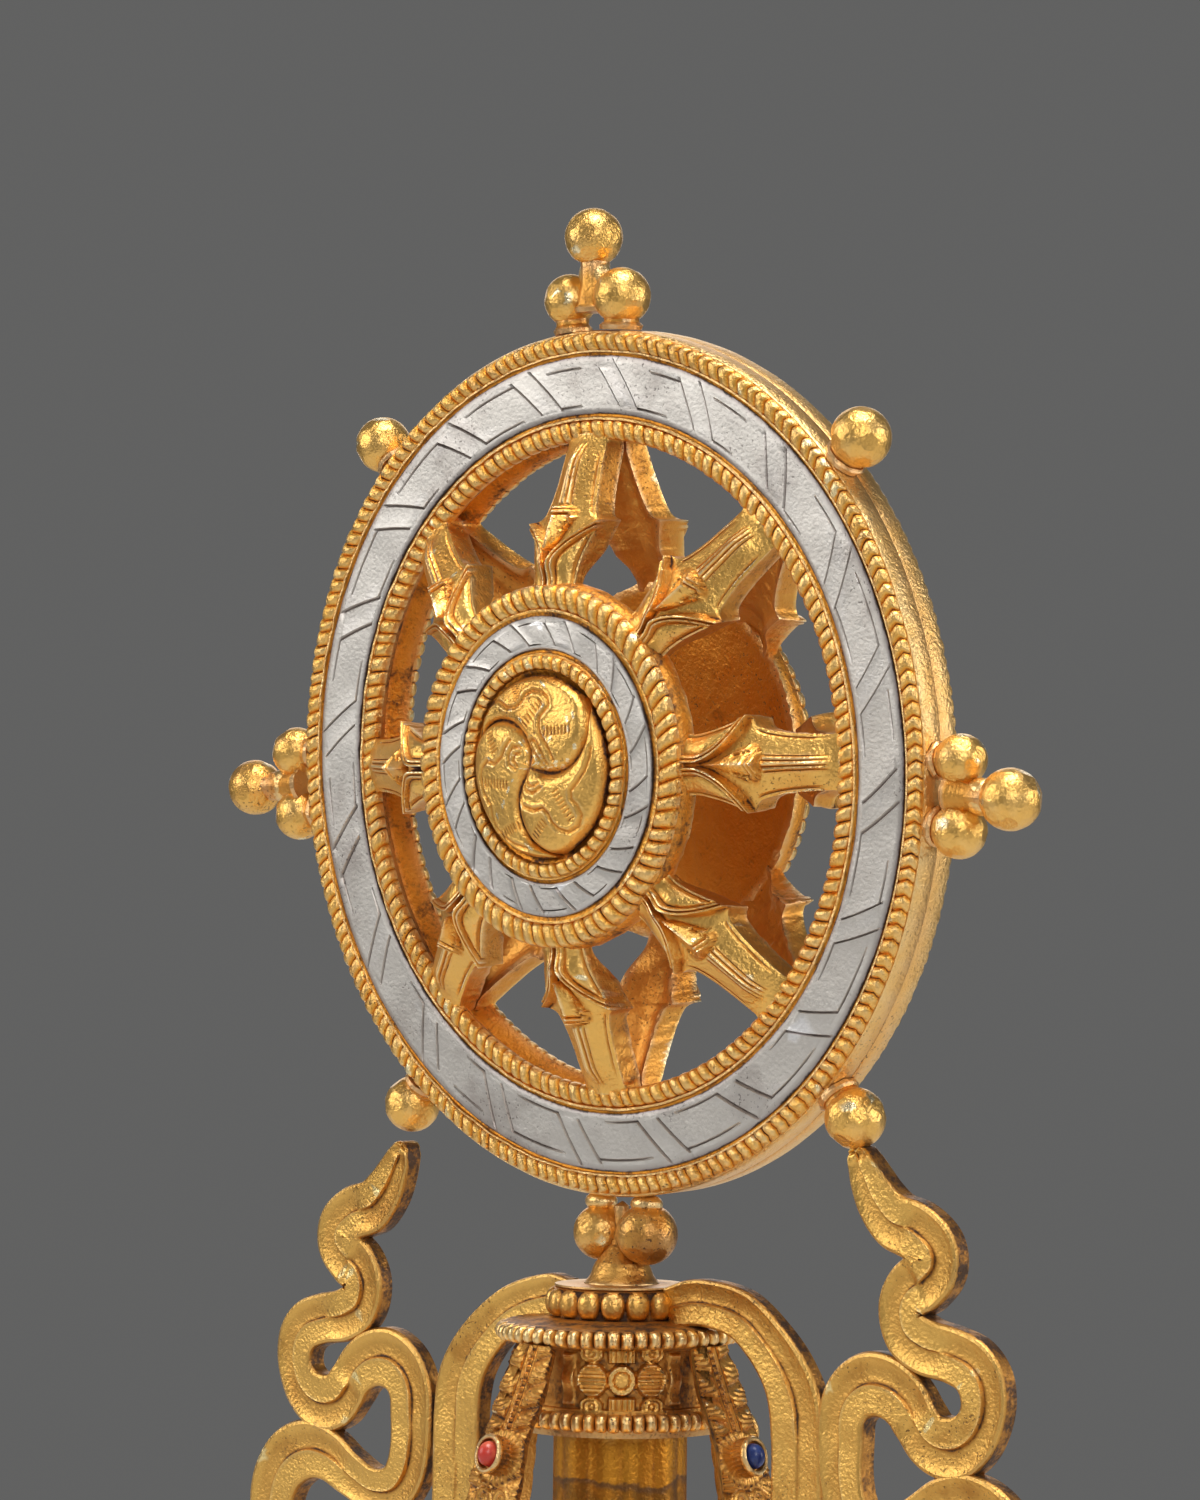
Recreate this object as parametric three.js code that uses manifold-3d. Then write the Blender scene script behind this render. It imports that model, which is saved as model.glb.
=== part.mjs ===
// Dharma wheel ornament on its lotus plinth: a lens-shaped openwork wheel of gilt copper with
// silver rings, standing on a turned capital with four jewelled straps and two scrolling ribbons.
// Millimetres. Z is up, the wheel's plane holds X and Z, its front face looks along -Y, and the
// origin is the centre of the plinth's underside.
import * as THREE from "three";
import { mergeVertices } from "three/addons/utils/BufferGeometryUtils.js";
import Module from "manifold-3d";

const wasm = await Module();
wasm.setup();

// Sizes shared by several pieces.
const gap = 0.3;
const wheelHeight = 146;
const wheelRadius = 45;
const wheelLean = THREE.MathUtils.degToRad(3);
const wheelSetBack = 0.6;
const ringSegments = 32;
const hubSegments = 18;

// Rim: outer rope, silver seat, inner rope, and the hollow channel between the two faces.
const rimOuter = wheelRadius;
const rimBand = 44.6;
const seatOuter = 42.6;
const seatInner = 36.1;
const ropeInner = 33.6;
const rimRopeDepth = 3.2;
const rimRopeMiddle = 2.3;
const rimSeatDepth = 1.5;
const channelRadius = 35.3;

// Hub: outer rope, silver seat, inner rope and the seat of the boss.
const hubOuter = 18.75;
const hubSeatOuter = 15.8;
const hubSeatInner = 11.76;
const hubBossSeat = 9.8;
const hubBack = 8.2;
const hubSeatDepth = 9.3;
const hubRopeDepth = 10.8;
const bossRopeDepth = 11.3;
const bossSeatDepth = 9.6;

// Silver rings.
const silverThickness = 0.9;

// Boss with three interlocking lobes.
const bossRadius = 9.45;
const bossRise = 3.1;
const bossLobes = 3;
const bossTwist = -2.1;
const bossGroove = 0.5;

// Spokes, from the hub out to the rim: radius, depth of the surface, half width, ridge.
const spokeCount = 8;
const spokeStations = [
  [17.9, 8.7, 2.3, 1.0],
  [20.6, 7.7, 2.9, 1.1],
  [24.2, 6.3, 4.5, 1.3],
  [25.4, 5.8, 2.9, 1.4],
  [34.4, 2.5, 2.8, 0.7],
];
const spokeEdge = 3.2;
const spokeHollow = 0.5;

// Beads on the rim: angle in degrees from +X towards +Z, distance of the centre, radius.
const beadFoot = wheelRadius + gap;
const beadOffset = 0.6;
const singleBeads = {
  bead_upper_right: [41.8, 48.3, 3.1],
  bead_upper_left: [133.8, 48.1, 3.0],
  bead_lower_left: [-130.7, 48.4, 3.0],
  bead_lower_right: [-47.3, 48.5, 3.1],
};
const beadClusters = {
  cluster_top: [[90.5, 54.75, 3.05], [94.9, 48.6, 2.75], [86.0, 48.5, 3.0]],
  cluster_right: [[-4.0, 54.4, 3.1], [0.1, 48.1, 2.6], [-8.2, 48.1, 2.8]],
  cluster_left: [[182.4, 55.6, 3.05], [178.2, 48.6, 2.75], [186.3, 48.6, 2.8]],
};

// Neck under the rim: two beads side by side on a flared collar. Heights are above the plinth.
const neckBeads = [[-3.2, 97.1, 2.75], [4.0, 97.2, 3.0]];
const neckCoreRadius = 2.4;
const neckTop = 100.2;
const neckWaist = 93.6;
const neckFoot = 91.6;
const neckFootRadius = 3.7;

// Capital: disc, ring of petals, flaring foot, beaded ring, frieze drum, lower beaded ring.
const capitalPetals = 17;
const capitalTop = neckFoot - gap;
const capitalRows = [
  [91.3, 6.4, 0],
  [90.7, 6.4, 0],
  [90.5, 6.7, 0.6],
  [88.4, 7.1, 0.9],
  [87.0, 8.0, 0],
  [86.6, 11.7, 0],
  [85.7, 12.4, 0],
  [84.7, 11.6, 0],
  [84.5, 10.5, 0],
  [77.9, 10.5, 0],
  [77.1, 11.8, 0],
  [76.2, 11.2, 0],
];

// Fluted column between the capital and the lotus seat.
const columnRadius = 7.1;
const columnFlutes = 12;
const columnFluteDepth = 0.35;

// Lotus seat and plinth.
const seatTop = 45;
const seatFoot = 12;
const lotusPetals = 14;
const lotusRows = [
  [45.0, 29.6, 0],
  [43.6, 31.4, 0],
  [42.2, 30.2, 0],
  [40.8, 33.2, 2.2],
  [34.6, 31.4, 2.4],
  [27.6, 25.2, 0.9],
  [25.8, 25.6, 0.9],
  [19.4, 33.4, 2.4],
  [12.0, 37.0, 2.2],
];
const plinthRadius = 40;
const plinthFootRadius = 42;

// Straps: a bulging path of radius and height, then half widths at the same places.
const strapPath = [
  [13.3, 84.3],
  [14.6, 81.2],
  [16.5, 77.2],
  [18.0, 72.8],
  [18.9, 67.2],
  [19.0, 61.0],
  [17.8, 54.8],
  [15.6, 49.8],
  [15.0, 45.4],
];
const strapHalfWidths = [2.4, 3.1, 2.9, 3.5, 3.3, 2.4, 2.1, 2.4, 3.2];
const strapThickness = 1.5;
const strapRidge = 0.5;
const strapPull = { front: 1, right: 1, back: 1, left: 0.72 };
const strapTurn = { front: -90, right: 0, back: 90, left: 180 };

// Bezel and stone set on each strap.
const bezelHeight = 1.1;
const bezelRadii = [1.95, 2.2];
const stoneRadii = [1.3, 1.5];
const stoneRise = 1.15;
const stoneAt = 3;

// Ribbons: centre line and width as seen from the front, for the left one, then the moves
// that set the right one a little higher, as the pair was fitted by hand.
const ribbonThickness = 2.4;
const archLine = [
  [7.4, 89.8, 4.2],
  [9.6, 89.9, 4.8],
  [12.0, 89.5, 4.9],
  [15.9, 88.1, 5.2],
  [19.4, 85.6, 5.6],
  [22.1, 82.6, 6.3],
  [23.5, 79.6, 7.0],
  [23.9, 76.0, 7.1],
  [24.0, 70.0, 7.0],
  [24.4, 62.0, 6.6],
  [25.6, 54.0, 6.4],
  [26.6, 48.6, 6.6],
  [26.8, 45.3, 7.4],
];
const scrollLine = [
  [33.0, 104.7, 0.8],
  [33.5, 103.2, 3.0],
  [34.6, 100.7, 5.2],
  [37.4, 98.0, 5.9],
  [40.6, 97.0, 6.1],
  [42.8, 95.3, 6.4],
  [43.0, 93.8, 6.4],
  [41.6, 92.3, 6.4],
  [39.7, 91.0, 6.2],
  [38.9, 89.3, 6.2],
  [39.5, 87.1, 6.0],
  [41.8, 85.8, 5.8],
  [45.3, 85.2, 5.6],
  [47.9, 84.3, 5.8],
  [49.3, 82.8, 5.9],
  [49.7, 81.0, 5.7],
  [49.4, 79.2, 5.5],
  [48.3, 77.4, 5.8],
  [46.4, 76.2, 6.3],
  [44.3, 76.0, 6.3],
  [42.4, 76.7, 6.1],
  [41.0, 78.2, 6.0],
  [39.6, 80.0, 6.1],
  [37.5, 81.3, 6.3],
  [34.7, 81.6, 6.5],
  [32.3, 80.4, 6.4],
  [31.1, 78.4, 6.3],
  [30.9, 75.4, 6.2],
  [31.0, 72.2, 5.9],
  [31.8, 69.4, 5.7],
  [33.6, 67.5, 5.3],
  [36.8, 67.1, 5.0],
  [40.8, 68.6, 5.2],
  [44.1, 70.3, 5.8],
  [47.4, 70.7, 6.6],
  [50.9, 69.2, 7.2],
  [52.9, 66.3, 7.3],
  [53.2, 63.0, 7.0],
  [51.6, 59.6, 6.6],
  [48.0, 57.4, 6.2],
  [43.6, 57.2, 5.8],
  [39.6, 58.4, 5.6],
  [35.8, 58.4, 5.8],
  [32.2, 56.2, 6.0],
  [29.6, 52.6, 6.0],
];
const rightArchMove = [1.7, 1.5];
const rightScrollMove = [0.6, 2.4];
const moveFadeFoot = 50;
const moveFadeTop = 74;

const finishes = {
  gold: [0xd6a23a, 1.0, 0.3],
  deepGold: [0xb9852e, 1.0, 0.4],
  silver: [0xc9c8cc, 1.0, 0.35],
  coral: [0xc93a35, 0.0, 0.35],
  lapis: [0x202a6e, 0.0, 0.3],
};

// A closed solid as a manifold, from a geometry whose faces meet edge to edge.
function solid(geometry) {
  const bare = geometry.clone();
  bare.deleteAttribute("normal");
  bare.deleteAttribute("uv");
  const merged = mergeVertices(bare, 1e-4);
  return new wasm.Manifold(
    new wasm.Mesh({
      numProp: 3,
      vertProperties: new Float32Array(merged.attributes.position.array),
      triVerts: new Uint32Array(merged.index.array),
    }),
  );
}

// The geometry of a manifold.
function shell(body) {
  const mesh = body.getMesh();
  const geometry = new THREE.BufferGeometry();
  geometry.setAttribute("position", new THREE.BufferAttribute(mesh.vertProperties, 3));
  geometry.setIndex(new THREE.BufferAttribute(mesh.triVerts, 1));
  return geometry;
}

// One solid out of several that run into each other.
function joined(geometries) {
  let body = solid(geometries[0]);
  for (const other of geometries.slice(1)) body = body.add(solid(other));
  return shell(body);
}

// A geometry mirrored in the plane that the sign triple names, with its faces turned back.
function mirrored(geometry, signs) {
  const copy = geometry.clone();
  if (!copy.index) copy.setIndex([...Array(copy.attributes.position.count).keys()]);
  copy.applyMatrix4(new THREE.Matrix4().makeScale(...signs));
  const order = copy.index.array;
  for (let i = 0; i < order.length; i += 3) {
    const first = order[i];
    order[i] = order[i + 1];
    order[i + 1] = first;
  }
  return copy;
}

// A ring about the local Y axis from a closed section of [radius, depth towards the front].
function frontRing(section, segments) {
  const points = section.map(([radius, depth]) => new THREE.Vector2(radius, -depth));
  points.push(points[0].clone());
  const ring = new THREE.LatheGeometry(points, segments);
  return solid(ring).volume() < 0 ? mirrored(ring, [1, 1, 1]) : ring;
}

// A tube of equal sections: each is a list of points, the ends are closed by fans.
function lofted(sections) {
  const count = sections[0].length;
  const places = sections.flat().flatMap((p) => [p.x, p.y, p.z]);
  const faces = [];
  for (let s = 0; s + 1 < sections.length; s += 1) {
    for (let i = 0; i < count; i += 1) {
      const a = s * count + i;
      const b = s * count + ((i + 1) % count);
      faces.push(a, b, a + count, b, b + count, a + count);
    }
  }
  const last = (sections.length - 1) * count;
  for (let i = 1; i + 1 < count; i += 1) {
    faces.push(0, i + 1, i);
    faces.push(last, last + i, last + i + 1);
  }
  const geometry = new THREE.BufferGeometry();
  geometry.setAttribute("position", new THREE.Float32BufferAttribute(places, 3));
  geometry.setIndex(faces);
  return solid(geometry).volume() < 0 ? mirrored(geometry, [1, 1, 1]) : geometry;
}

// A round body about Z from rows of [height, radius, scallop], scalloped into equal petals.
function scalloped(rows, petals, perPetal) {
  const count = petals * perPetal;
  const sections = rows.map(([height, radius, scallop]) => {
    const ring = [];
    for (let i = 0; i < count; i += 1) {
      const turn = (i / count) * Math.PI * 2;
      const dip = scallop * (1 - Math.abs(Math.cos((turn * petals) / 2)));
      ring.push(
        new THREE.Vector3((radius - dip) * Math.cos(turn), (radius - dip) * Math.sin(turn), height),
      );
    }
    return ring;
  });
  return lofted(sections);
}

// A spoke: a tented bar that flares into two leaf shoulders and hollows behind.
function spoke(index) {
  const sections = spokeStations.map(([radius, depth, half, ridge]) => {
    const edge = Math.min(spokeEdge, depth - gap);
    return [
      new THREE.Vector3(radius, -depth, -half),
      new THREE.Vector3(radius, -depth - ridge, 0),
      new THREE.Vector3(radius, -depth, half),
      new THREE.Vector3(radius, -depth + edge, half * 0.9),
      new THREE.Vector3(radius, -depth + spokeHollow, 0),
      new THREE.Vector3(radius, -depth + edge, -half * 0.9),
    ];
  });
  return lofted(sections).rotateY((index / spokeCount) * Math.PI * 2);
}

// Front half of the wheel: rim, hub and spokes in one casting.
function wheelHalf() {
  const rim = frontRing(
    [
      [rimBand, gap / 2],
      [rimOuter, rimRopeMiddle],
      [rimOuter - 0.6, rimRopeDepth],
      [seatOuter + 0.4, rimRopeDepth],
      [seatOuter, rimSeatDepth],
      [seatInner, rimSeatDepth],
      [seatInner - 0.4, rimRopeDepth],
      [ropeInner + 0.6, rimRopeDepth],
      [ropeInner, rimRopeMiddle],
      [channelRadius, gap / 2],
    ],
    ringSegments,
  );
  const hub = frontRing(
    [
      [0, hubBack],
      [hubOuter - 1.1, hubBack],
      [hubOuter, hubRopeDepth - 1.1],
      [hubOuter - 0.7, hubRopeDepth],
      [hubSeatOuter + 0.4, hubRopeDepth],
      [hubSeatOuter, hubSeatDepth],
      [hubSeatInner, hubSeatDepth],
      [hubSeatInner - 0.4, bossRopeDepth],
      [hubBossSeat + 0.3, bossRopeDepth - 0.2],
      [hubBossSeat, bossSeatDepth],
      [0, bossSeatDepth],
    ],
    hubSegments,
  );
  const spokes = [...Array(spokeCount).keys()].map((index) => spoke(index));
  return joined([rim, hub, ...spokes]);
}

// A flat ring of sheet silver lying in its seat, clear of the seat's walls and floor.
function silverRing(inner, outer, floor, segments) {
  return frontRing(
    [
      [inner + gap, floor + gap],
      [outer - gap, floor + gap],
      [outer - gap, floor + gap + silverThickness],
      [inner + gap, floor + gap + silverThickness],
    ],
    segments,
  );
}

// The boss: a dome cut by three swirling grooves into interlocking lobes.
function boss() {
  const steps = 18;
  const levels = 4;
  const floor = bossSeatDepth + gap;
  const sections = [];
  const ring = (radius, depth, twist, groove) => {
    const points = [];
    for (let i = 0; i < steps; i += 1) {
      const turn = (i / steps) * Math.PI * 2 + twist;
      const cut = i % (steps / bossLobes) === steps / bossLobes / 2 ? groove : 0;
      points.push(
        new THREE.Vector3(radius * Math.cos(turn), -(depth - cut), radius * Math.sin(turn)),
      );
    }
    return points;
  };
  sections.push(ring(bossRadius, floor, 0, 0));
  for (let level = 0; level < levels; level += 1) {
    const part = level / levels;
    const radius = bossRadius * (1 - part * 0.97);
    const rise = 0.8 + (bossRise - 0.8) * Math.sin((part * Math.PI) / 2);
    sections.push(ring(radius, floor + rise, part * bossTwist, level ? bossGroove : 0.2));
  }
  return lofted(sections);
}

// A bead with its small collar, standing on the rim at an angle in degrees.
function bead([angle, distance, radius], footDistance) {
  const points = [
    new THREE.Vector2(0, footDistance),
    new THREE.Vector2(radius * 0.66, footDistance),
    new THREE.Vector2(radius * 0.56, distance - radius * 0.83),
  ];
  for (const degrees of [-30, 8, 48]) {
    const turn = THREE.MathUtils.degToRad(degrees);
    points.push(
      new THREE.Vector2(radius * Math.cos(turn), distance + radius * Math.sin(turn)),
    );
  }
  points.push(new THREE.Vector2(0, distance + radius));
  const ball = new THREE.LatheGeometry(points, 8);
  const turn = THREE.MathUtils.degToRad(angle);
  ball.rotateX(Math.PI / 2);
  ball.rotateY(Math.PI / 2 - turn);
  ball.translate(0, -beadOffset, 0);
  return solid(ball).volume() < 0 ? mirrored(ball, [1, 1, 1]) : ball;
}

// Three beads stacked as a pyramid, the tip bead's stem running down between the other two.
function cluster([tip, first, second]) {
  const stemmed = [tip[0], tip[1], tip[2]];
  return joined([bead(stemmed, 47.2), bead(first, beadFoot), bead(second, beadFoot)]);
}

// The neck: two beads beside a core that flares into the collar.
function neck() {
  const core = new THREE.LatheGeometry(
    [
      new THREE.Vector2(0, neckFoot),
      new THREE.Vector2(neckFootRadius, neckFoot),
      new THREE.Vector2(neckFootRadius - 0.2, neckFoot + 0.5),
      new THREE.Vector2(neckCoreRadius + 0.4, neckWaist),
      new THREE.Vector2(neckCoreRadius, neckTop - 2),
      new THREE.Vector2(neckCoreRadius, neckTop),
      new THREE.Vector2(0, neckTop),
    ],
    10,
  ).rotateX(Math.PI / 2);
  const balls = neckBeads.map(([across, height, radius]) =>
    new THREE.SphereGeometry(radius, 8, 5).rotateX(Math.PI / 2).translate(across, 0, height),
  );
  return joined([core, ...balls]);
}

// A strap from the beaded ring down to the lotus seat, with the bezel of its stone.
function strap(pull) {
  const path = strapPath.map(([radius, height]) => [
    strapPath[0][0] + (radius - strapPath[0][0]) * pull,
    height,
  ]);
  const sections = path.map(([radius, height], i) => {
    const before = path[Math.max(i - 1, 0)];
    const after = path[Math.min(i + 1, path.length - 1)];
    const along = new THREE.Vector2(after[0] - before[0], after[1] - before[1]).normalize();
    const out = new THREE.Vector2(-along.y, along.x);
    const half = strapHalfWidths[i];
    const level = i === 0 || i === path.length - 1;
    const at = (depth, across) => {
      const rise = level ? 0 : out.y * depth;
      return new THREE.Vector3(radius + (level ? 1 : out.x) * depth, across, height + rise);
    };
    return [
      at(-strapThickness, -half * 0.8),
      at(-strapThickness, half * 0.8),
      at(0, half),
      at(strapRidge, half * 0.3),
      at(strapRidge, -half * 0.3),
      at(0, -half),
    ];
  });
  const bezel = setOnStrap(path, (place) => ovalBody(place, bezelRadii, -0.6, bezelHeight, 1, 8));
  return joined([lofted(sections), bezel]);
}

// Runs a builder with the frame of the stone's place on a strap path.
function setOnStrap(path, build) {
  const before = path[stoneAt - 1];
  const here = path[stoneAt];
  const after = path[stoneAt + 1];
  const along = new THREE.Vector2(after[0] - before[0], after[1] - before[1]).normalize();
  const place = {
    origin: new THREE.Vector3((here[0] + before[0]) / 2, 0, (here[1] + before[1]) / 2),
    across: new THREE.Vector3(0, 1, 0),
    along: new THREE.Vector3(along.x, 0, along.y),
    out: new THREE.Vector3(-along.y, 0, along.x),
  };
  return build(place);
}

// An oval post between two levels of a place, its top edge scaled by a factor.
function ovalBody(place, radii, low, high, topScale, segments) {
  const level = (depth, scale) =>
    [...Array(segments).keys()].map((i) => {
      const turn = (i / segments) * Math.PI * 2;
      return place.origin
        .clone()
        .addScaledVector(place.across, Math.cos(turn) * radii[0] * scale)
        .addScaledVector(place.along, Math.sin(turn) * radii[1] * scale)
        .addScaledVector(place.out, depth);
    });
  return lofted([level(low, 1), level(high, topScale)]);
}

// A cabochon: an oval dome standing clear of its bezel's top.
function stone(pull) {
  const path = strapPath.map(([radius, height]) => [
    strapPath[0][0] + (radius - strapPath[0][0]) * pull,
    height,
  ]);
  return setOnStrap(path, (place) => {
    const segments = 8;
    const floor = bezelHeight + gap;
    const level = (depth, scale) =>
      [...Array(segments).keys()].map((i) => {
        const turn = (i / segments) * Math.PI * 2;
        return place.origin
          .clone()
          .addScaledVector(place.across, Math.cos(turn) * stoneRadii[0] * scale)
          .addScaledVector(place.along, Math.sin(turn) * stoneRadii[1] * scale)
          .addScaledVector(place.out, depth);
      });
    return lofted([
      level(floor, 1),
      level(floor + stoneRise * 0.6, 0.84),
      level(floor + stoneRise, 0.3),
    ]);
  });
}

// A strip of even thickness along a centre line of [x, z, width], as one extruded outline.
function strip(line, samples) {
  const curve = new THREE.CatmullRomCurve3(line.map(([x, z, w]) => new THREE.Vector3(x, z, w)));
  const leftSide = [];
  const rightSide = [];
  for (let i = 0; i <= samples; i += 1) {
    const part = i / samples;
    const at = curve.getPoint(part);
    const ahead = curve.getPoint(Math.min(part + 0.004, 1));
    const behind = curve.getPoint(Math.max(part - 0.004, 0));
    const across = new THREE.Vector2(behind.y - ahead.y, ahead.x - behind.x).normalize();
    leftSide.push(new THREE.Vector2(at.x + (across.x * at.z) / 2, at.y + (across.y * at.z) / 2));
    rightSide.push(new THREE.Vector2(at.x - (across.x * at.z) / 2, at.y - (across.y * at.z) / 2));
  }
  const outline = new THREE.Shape([...leftSide, ...rightSide.reverse()]);
  const plate = new THREE.ExtrudeGeometry(outline, { depth: ribbonThickness, bevelEnabled: false });
  plate.rotateX(Math.PI / 2);
  plate.translate(0, ribbonThickness / 2, 0);
  return plate;
}

// A centre line moved by hand fitting, the move fading out towards the foot.
function moved(line, move) {
  return line.map(([x, z, width], i) => {
    const low = THREE.MathUtils.smoothstep(z, moveFadeFoot, moveFadeTop);
    const root = line === archLine ? Math.min(i / 3, 1) : 1;
    return [x + move[0] * low * root, z + move[1] * low * root, width];
  });
}

// A ribbon: the arch that springs from the capital and the scroll that climbs beside it.
function ribbon(archMove, scrollMove) {
  const arch = strip(moved(archLine, archMove), 15);
  const scroll = strip(moved(scrollLine, scrollMove), 46);
  return joined([arch, scroll]);
}

const part = new THREE.Group();
const wheel = new THREE.Group();
part.name = "dharma_wheel_ornament";
wheel.name = "wheel";
part.add(wheel);

// Adds a mesh with a finish of its own to a group.
function place(group, name, geometry, finish) {
  const [color, metalness, roughness] = finishes[finish];
  const material = new THREE.MeshStandardMaterial({ color, metalness, roughness });
  material.name = name;
  const mesh = new THREE.Mesh(geometry, material);
  mesh.name = name;
  group.add(mesh);
}

// The wheel, built about its own centre with its axis along Y.
const half = wheelHalf();
const rimSilver = silverRing(seatInner, seatOuter, rimSeatDepth, ringSegments);
const hubSilver = silverRing(hubSeatInner, hubSeatOuter, hubSeatDepth, hubSegments);
const bossFront = boss();
const toBack = [1, -1, 1];
place(wheel, "wheel_front", half, "gold");
place(wheel, "wheel_back", mirrored(half, toBack), "gold");
place(wheel, "rim_silver_front", rimSilver, "silver");
place(wheel, "rim_silver_back", mirrored(rimSilver, toBack), "silver");
place(wheel, "hub_silver_front", hubSilver, "silver");
place(wheel, "hub_silver_back", mirrored(hubSilver, toBack), "silver");
place(wheel, "boss_front", bossFront, "gold");
place(wheel, "boss_back", mirrored(bossFront, toBack), "gold");
for (const [name, spot] of Object.entries(singleBeads)) {
  place(wheel, name, bead(spot, beadFoot), "gold");
}
for (const [name, spots] of Object.entries(beadClusters)) {
  place(wheel, name, cluster(spots), "gold");
}

// The wheel leans a little towards the front about the lowest point of its rim.
const rimFoot = wheelHeight - wheelRadius;
wheel.position.set(
  0,
  wheelSetBack - Math.sin(wheelLean) * wheelRadius,
  rimFoot + Math.cos(wheelLean) * wheelRadius,
);
wheel.rotation.x = wheelLean;

// The stand.
place(part, "neck", neck(), "gold");
place(part, "capital", scalloped(capitalRows, capitalPetals, 2), "gold");
place(
  part,
  "column",
  scalloped(
    [
      [capitalRows.at(-1)[0] - gap, columnRadius, columnFluteDepth],
      [seatTop + gap, columnRadius, columnFluteDepth],
    ],
    columnFlutes,
    2,
  ),
  "deepGold",
);
for (const [side, turn] of Object.entries(strapTurn)) {
  const angle = THREE.MathUtils.degToRad(turn);
  const pull = strapPull[side];
  const kind = side === "front" || side === "back" ? "coral" : "lapis";
  place(part, "strap_" + side, strap(pull).rotateZ(angle), "gold");
  place(part, "stone_" + side, stone(pull).rotateZ(angle), kind);
}
const ribbonRight = ribbon(rightArchMove, rightScrollMove);
const ribbonLeft = mirrored(ribbon([0, 0], [0, 0]), [-1, 1, 1]);
place(part, "ribbon_right", ribbonRight, "gold");
place(part, "ribbon_left", ribbonLeft, "gold");
place(part, "lotus_seat", scalloped(lotusRows, lotusPetals, 3), "gold");
place(
  part,
  "plinth",
  scalloped(
    [
      [seatFoot - gap, plinthRadius - 1, 0],
      [10.4, plinthRadius, 0],
      [5.0, plinthRadius, 0],
      [4.2, plinthFootRadius, 0],
      [0, plinthFootRadius, 0],
    ],
    12,
    2,
  ),
  "deepGold",
);

export default part;
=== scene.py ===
"""Dharma wheel ornament: a gilt copper wheel with silver rings on a jewelled lotus stand."""

import logging
import math
import random
from collections.abc import Callable
from dataclasses import dataclass
from enum import Enum

import bmesh
import bpy
from mathutils import Matrix, Vector, noise


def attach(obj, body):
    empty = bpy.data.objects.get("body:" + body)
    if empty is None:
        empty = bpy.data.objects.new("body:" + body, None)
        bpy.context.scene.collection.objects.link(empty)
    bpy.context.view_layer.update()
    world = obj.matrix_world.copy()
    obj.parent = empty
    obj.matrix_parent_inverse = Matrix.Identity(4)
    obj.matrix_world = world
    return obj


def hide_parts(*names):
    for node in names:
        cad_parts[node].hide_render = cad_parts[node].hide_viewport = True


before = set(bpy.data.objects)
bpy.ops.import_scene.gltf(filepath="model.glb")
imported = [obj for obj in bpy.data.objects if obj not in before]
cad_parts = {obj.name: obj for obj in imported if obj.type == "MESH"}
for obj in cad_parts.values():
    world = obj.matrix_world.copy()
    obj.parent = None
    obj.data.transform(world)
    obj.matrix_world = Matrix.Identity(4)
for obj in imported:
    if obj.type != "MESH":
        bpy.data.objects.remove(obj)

log = logging.getLogger("wheel")
logging.basicConfig(level=logging.INFO, format="%(message)s")

MM = 0.001
Socket = bpy.types.NodeSocket
Point = tuple[float, float, float]
Profile = list[tuple[float, float]]
Masked = tuple[float, float, float, float]
Carving = Callable[[float, float, float, float], Masked]
Pressing = Callable[[float, float, float], Masked]


class Metal(Enum):
    """The record's material slots."""

    GOLD = "gilt_copper"
    SILVER = "silver"
    CORAL = "coral"
    LAPIS = "lapis"


class Side(Enum):
    """Which face of the wheel a casting makes."""

    FRONT = 1
    BACK = -1


# --- small sums -------------------------------------------------------------------------


def step(low: float, high: float, value: float) -> float:
    """Smooth step from 0 at low to 1 at high."""
    part = min(max((value - low) / (high - low), 0.0), 1.0)
    return part * part * (3.0 - 2.0 * part)


def line(value: float, middle: float, width: float) -> float:
    """A soft line: 1 in its middle, fading to nothing at about a width away."""
    return math.exp(-(((value - middle) / width) ** 2))


def table(rows: list[tuple[float, float]], value: float) -> float:
    """Straight-line reading of a table.

    Args:
        rows: pairs of place and reading, with rising places.
        value: the place to read.

    Returns:
        The reading there, held at both ends.
    """
    if value <= rows[0][0]:
        return rows[0][1]
    for (x0, y0), (x1, y1) in zip(rows, rows[1:]):
        if value <= x1:
            return y0 + (y1 - y0) * (value - x0) / (x1 - x0)
    return rows[-1][1]


def rough(place: Point, scale: float, seed: float) -> float:
    """Even noise from -1 to 1 at a place, scale in mm."""
    return noise.noise(Vector((place[0] / scale + seed, place[1] / scale, place[2] / scale)))


def straight(radius: float, turn: float, height: float) -> Point:
    """A place in round coordinates, given in straight ones."""
    return radius * math.cos(turn), radius * math.sin(turn), height


def cell(turn: float, count: int, per: int) -> tuple[int, int]:
    """Which of count cells round the turn a vertex is in, and which of its per columns."""
    steps = count * per
    return divmod(round(turn / math.tau * steps) % steps, per)


# --- the bench ----------------------------------------------------------------------------


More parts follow.
